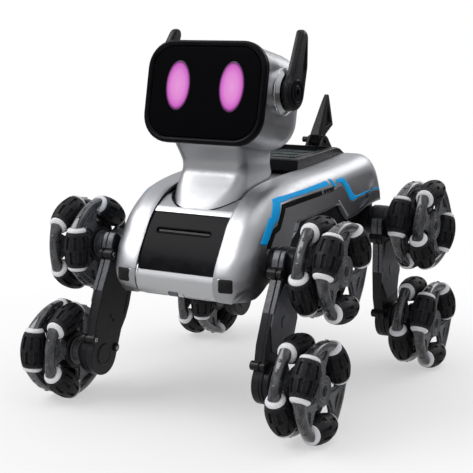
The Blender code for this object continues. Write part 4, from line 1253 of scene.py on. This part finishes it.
def build_floor():
    """A pale floor that fades to white, as the camera sees it; for reflections it is a dim glow."""
    reach = 6
    bm = bmesh.new()
    bm.faces.new([bm.verts.new((x * reach, y * reach, 0)) for x, y in ((-1, -1), (1, -1), (1, 1), (-1, 1))])
    mesh = bpy.data.meshes.new("floor")
    bm.to_mesh(mesh)
    bm.free()
    look = Look("floor_look", specular=0.15)
    tone = look.spots((0.9, 0.9, 0.895), (0.92, 0.92, 0.915), 0.3, 0.7, 1, 60)
    look.set(Base_Color=tone, Roughness=0.75)
    look.bump(look.noise(3), 0.02, 0.2)
    path = look.node("LightPath").outputs
    length = look.node("VectorMath", {0: look.coords}, operation="LENGTH").outputs["Value"]
    away = look.span(length, 0.08, 0.42, 0.38, 1)
    across = look.node("SeparateXYZ", {"Vector": look.coords}).outputs["X"]
    white = look.node("Emission", {"Color": (1, 1, 1, 1), "Strength": 1}).outputs[0]
    dim = look.node("Emission", {"Strength": look.span(across, 0, 0.45, 0.5, 0.05)}).outputs[0]
    surface = look.shader.outputs[0]
    for share, other in ((look.math("MULTIPLY", away, path["Is Camera Ray"]), white),
                         (path["Is Glossy Ray"], dim)):
        surface = look.node("MixShader", {0: share, 1: surface, 2: other}).outputs[0]
    out = next(node for node in look.tree.nodes if node.type == "OUTPUT_MATERIAL")
    look.feed(out.inputs["Surface"], surface)
    mesh.materials.append(look.mat)
    add_object("floor", mesh)


def area_light(name, power, size, place, target):
    data = bpy.data.lights.new(name, "AREA")
    data.energy, data.shape = power, "RECTANGLE"
    data.size, data.size_y = size
    obj = add_object(name, data)
    obj.location = place
    obj.rotation_euler = (Vector(target) - Vector(place)).to_track_quat("-Z", "Y").to_euler()


def build_light():
    """Soft boxes at the dog's right front, above and behind; a dim room that is darker on its left."""
    area_light("key", 14, (1.5, 0.9), (-1, -0.8, 1.45), (0, 0, 0.12))
    area_light("top", 5, (1.7, 1.2), (0.35, 0.25, 1.9), (0, 0, 0.1))
    area_light("rear", 6, (1.4, 0.7), (0.6, 1.7, 1.1), (0, 0, 0.14))
    world = bpy.data.worlds.new("studio")
    bpy.context.scene.world = world
    world.use_nodes = True
    room = Nodes(world.node_tree)
    view = room.node("TexCoord").outputs["Generated"]
    axes = room.node("SeparateXYZ", {0: view}).outputs
    # brightness by direction: (direction's part along the axis, brightness)
    height = ((-1, 0.2), (-0.15, 0.36), (0.02, 0.46), (0.16, 0.36), (0.4, 0.6), (0.62, 0.8), (0.85, 0.55),
              (1, 0.5))
    side = ((-1, 0.8), (-0.6, 1), (0.3, 1), (0.6, 0.82), (0.85, 0.6), (1, 0.58))
    ramps = [room.ramp(room.span(axes[axis], -1, 1, 0, 1),
                       [((at + 1) / 2, (value, value, value * 1.02)) for at, value in stops])
             for axis, stops in (("Z", height), ("X", side))]
    light = room.mix(1, *ramps, "MULTIPLY")
    seen = room.node("LightPath").outputs["Is Camera Ray"]
    background = world.node_tree.nodes["Background"]
    room.feed(background.inputs["Color"], room.mix(seen, light, (1, 1, 1)))


def build_camera():
    """Seen from the dog's front left, a little above."""
    azimuth, elevation, distance = radians(29.88), radians(10.34), 0.981
    target = (CAD_LOW + CAD_HIGH) / 2 + Vector((-0.0191, 0.0091, -0.0257))
    back = Vector((sin(azimuth) * cos(elevation), -cos(azimuth) * cos(elevation), sin(elevation)))
    data = bpy.data.cameras.new("camera")
    data.lens, data.sensor_width = 92.1, 36
    camera = add_object("camera", data)
    camera.location = target + back * distance
    camera.rotation_euler = (-back).to_track_quat("-Z", "Y").to_euler()
    bpy.context.scene.camera = camera
    bpy.context.scene.view_settings.view_transform = "Standard"


build_wheels()
for end in ("front", "rear"):
    for hand in SIDES:
        build_leg(end, hand)
build_belly()
build_rear_plate()
build_sides()
build_shells()
build_markings()
build_chest()
build_cowl()
build_bumper()
build_neck()
build_tray()
build_head()
build_ears()
build_tail()
build_floor()
build_light()
build_camera()
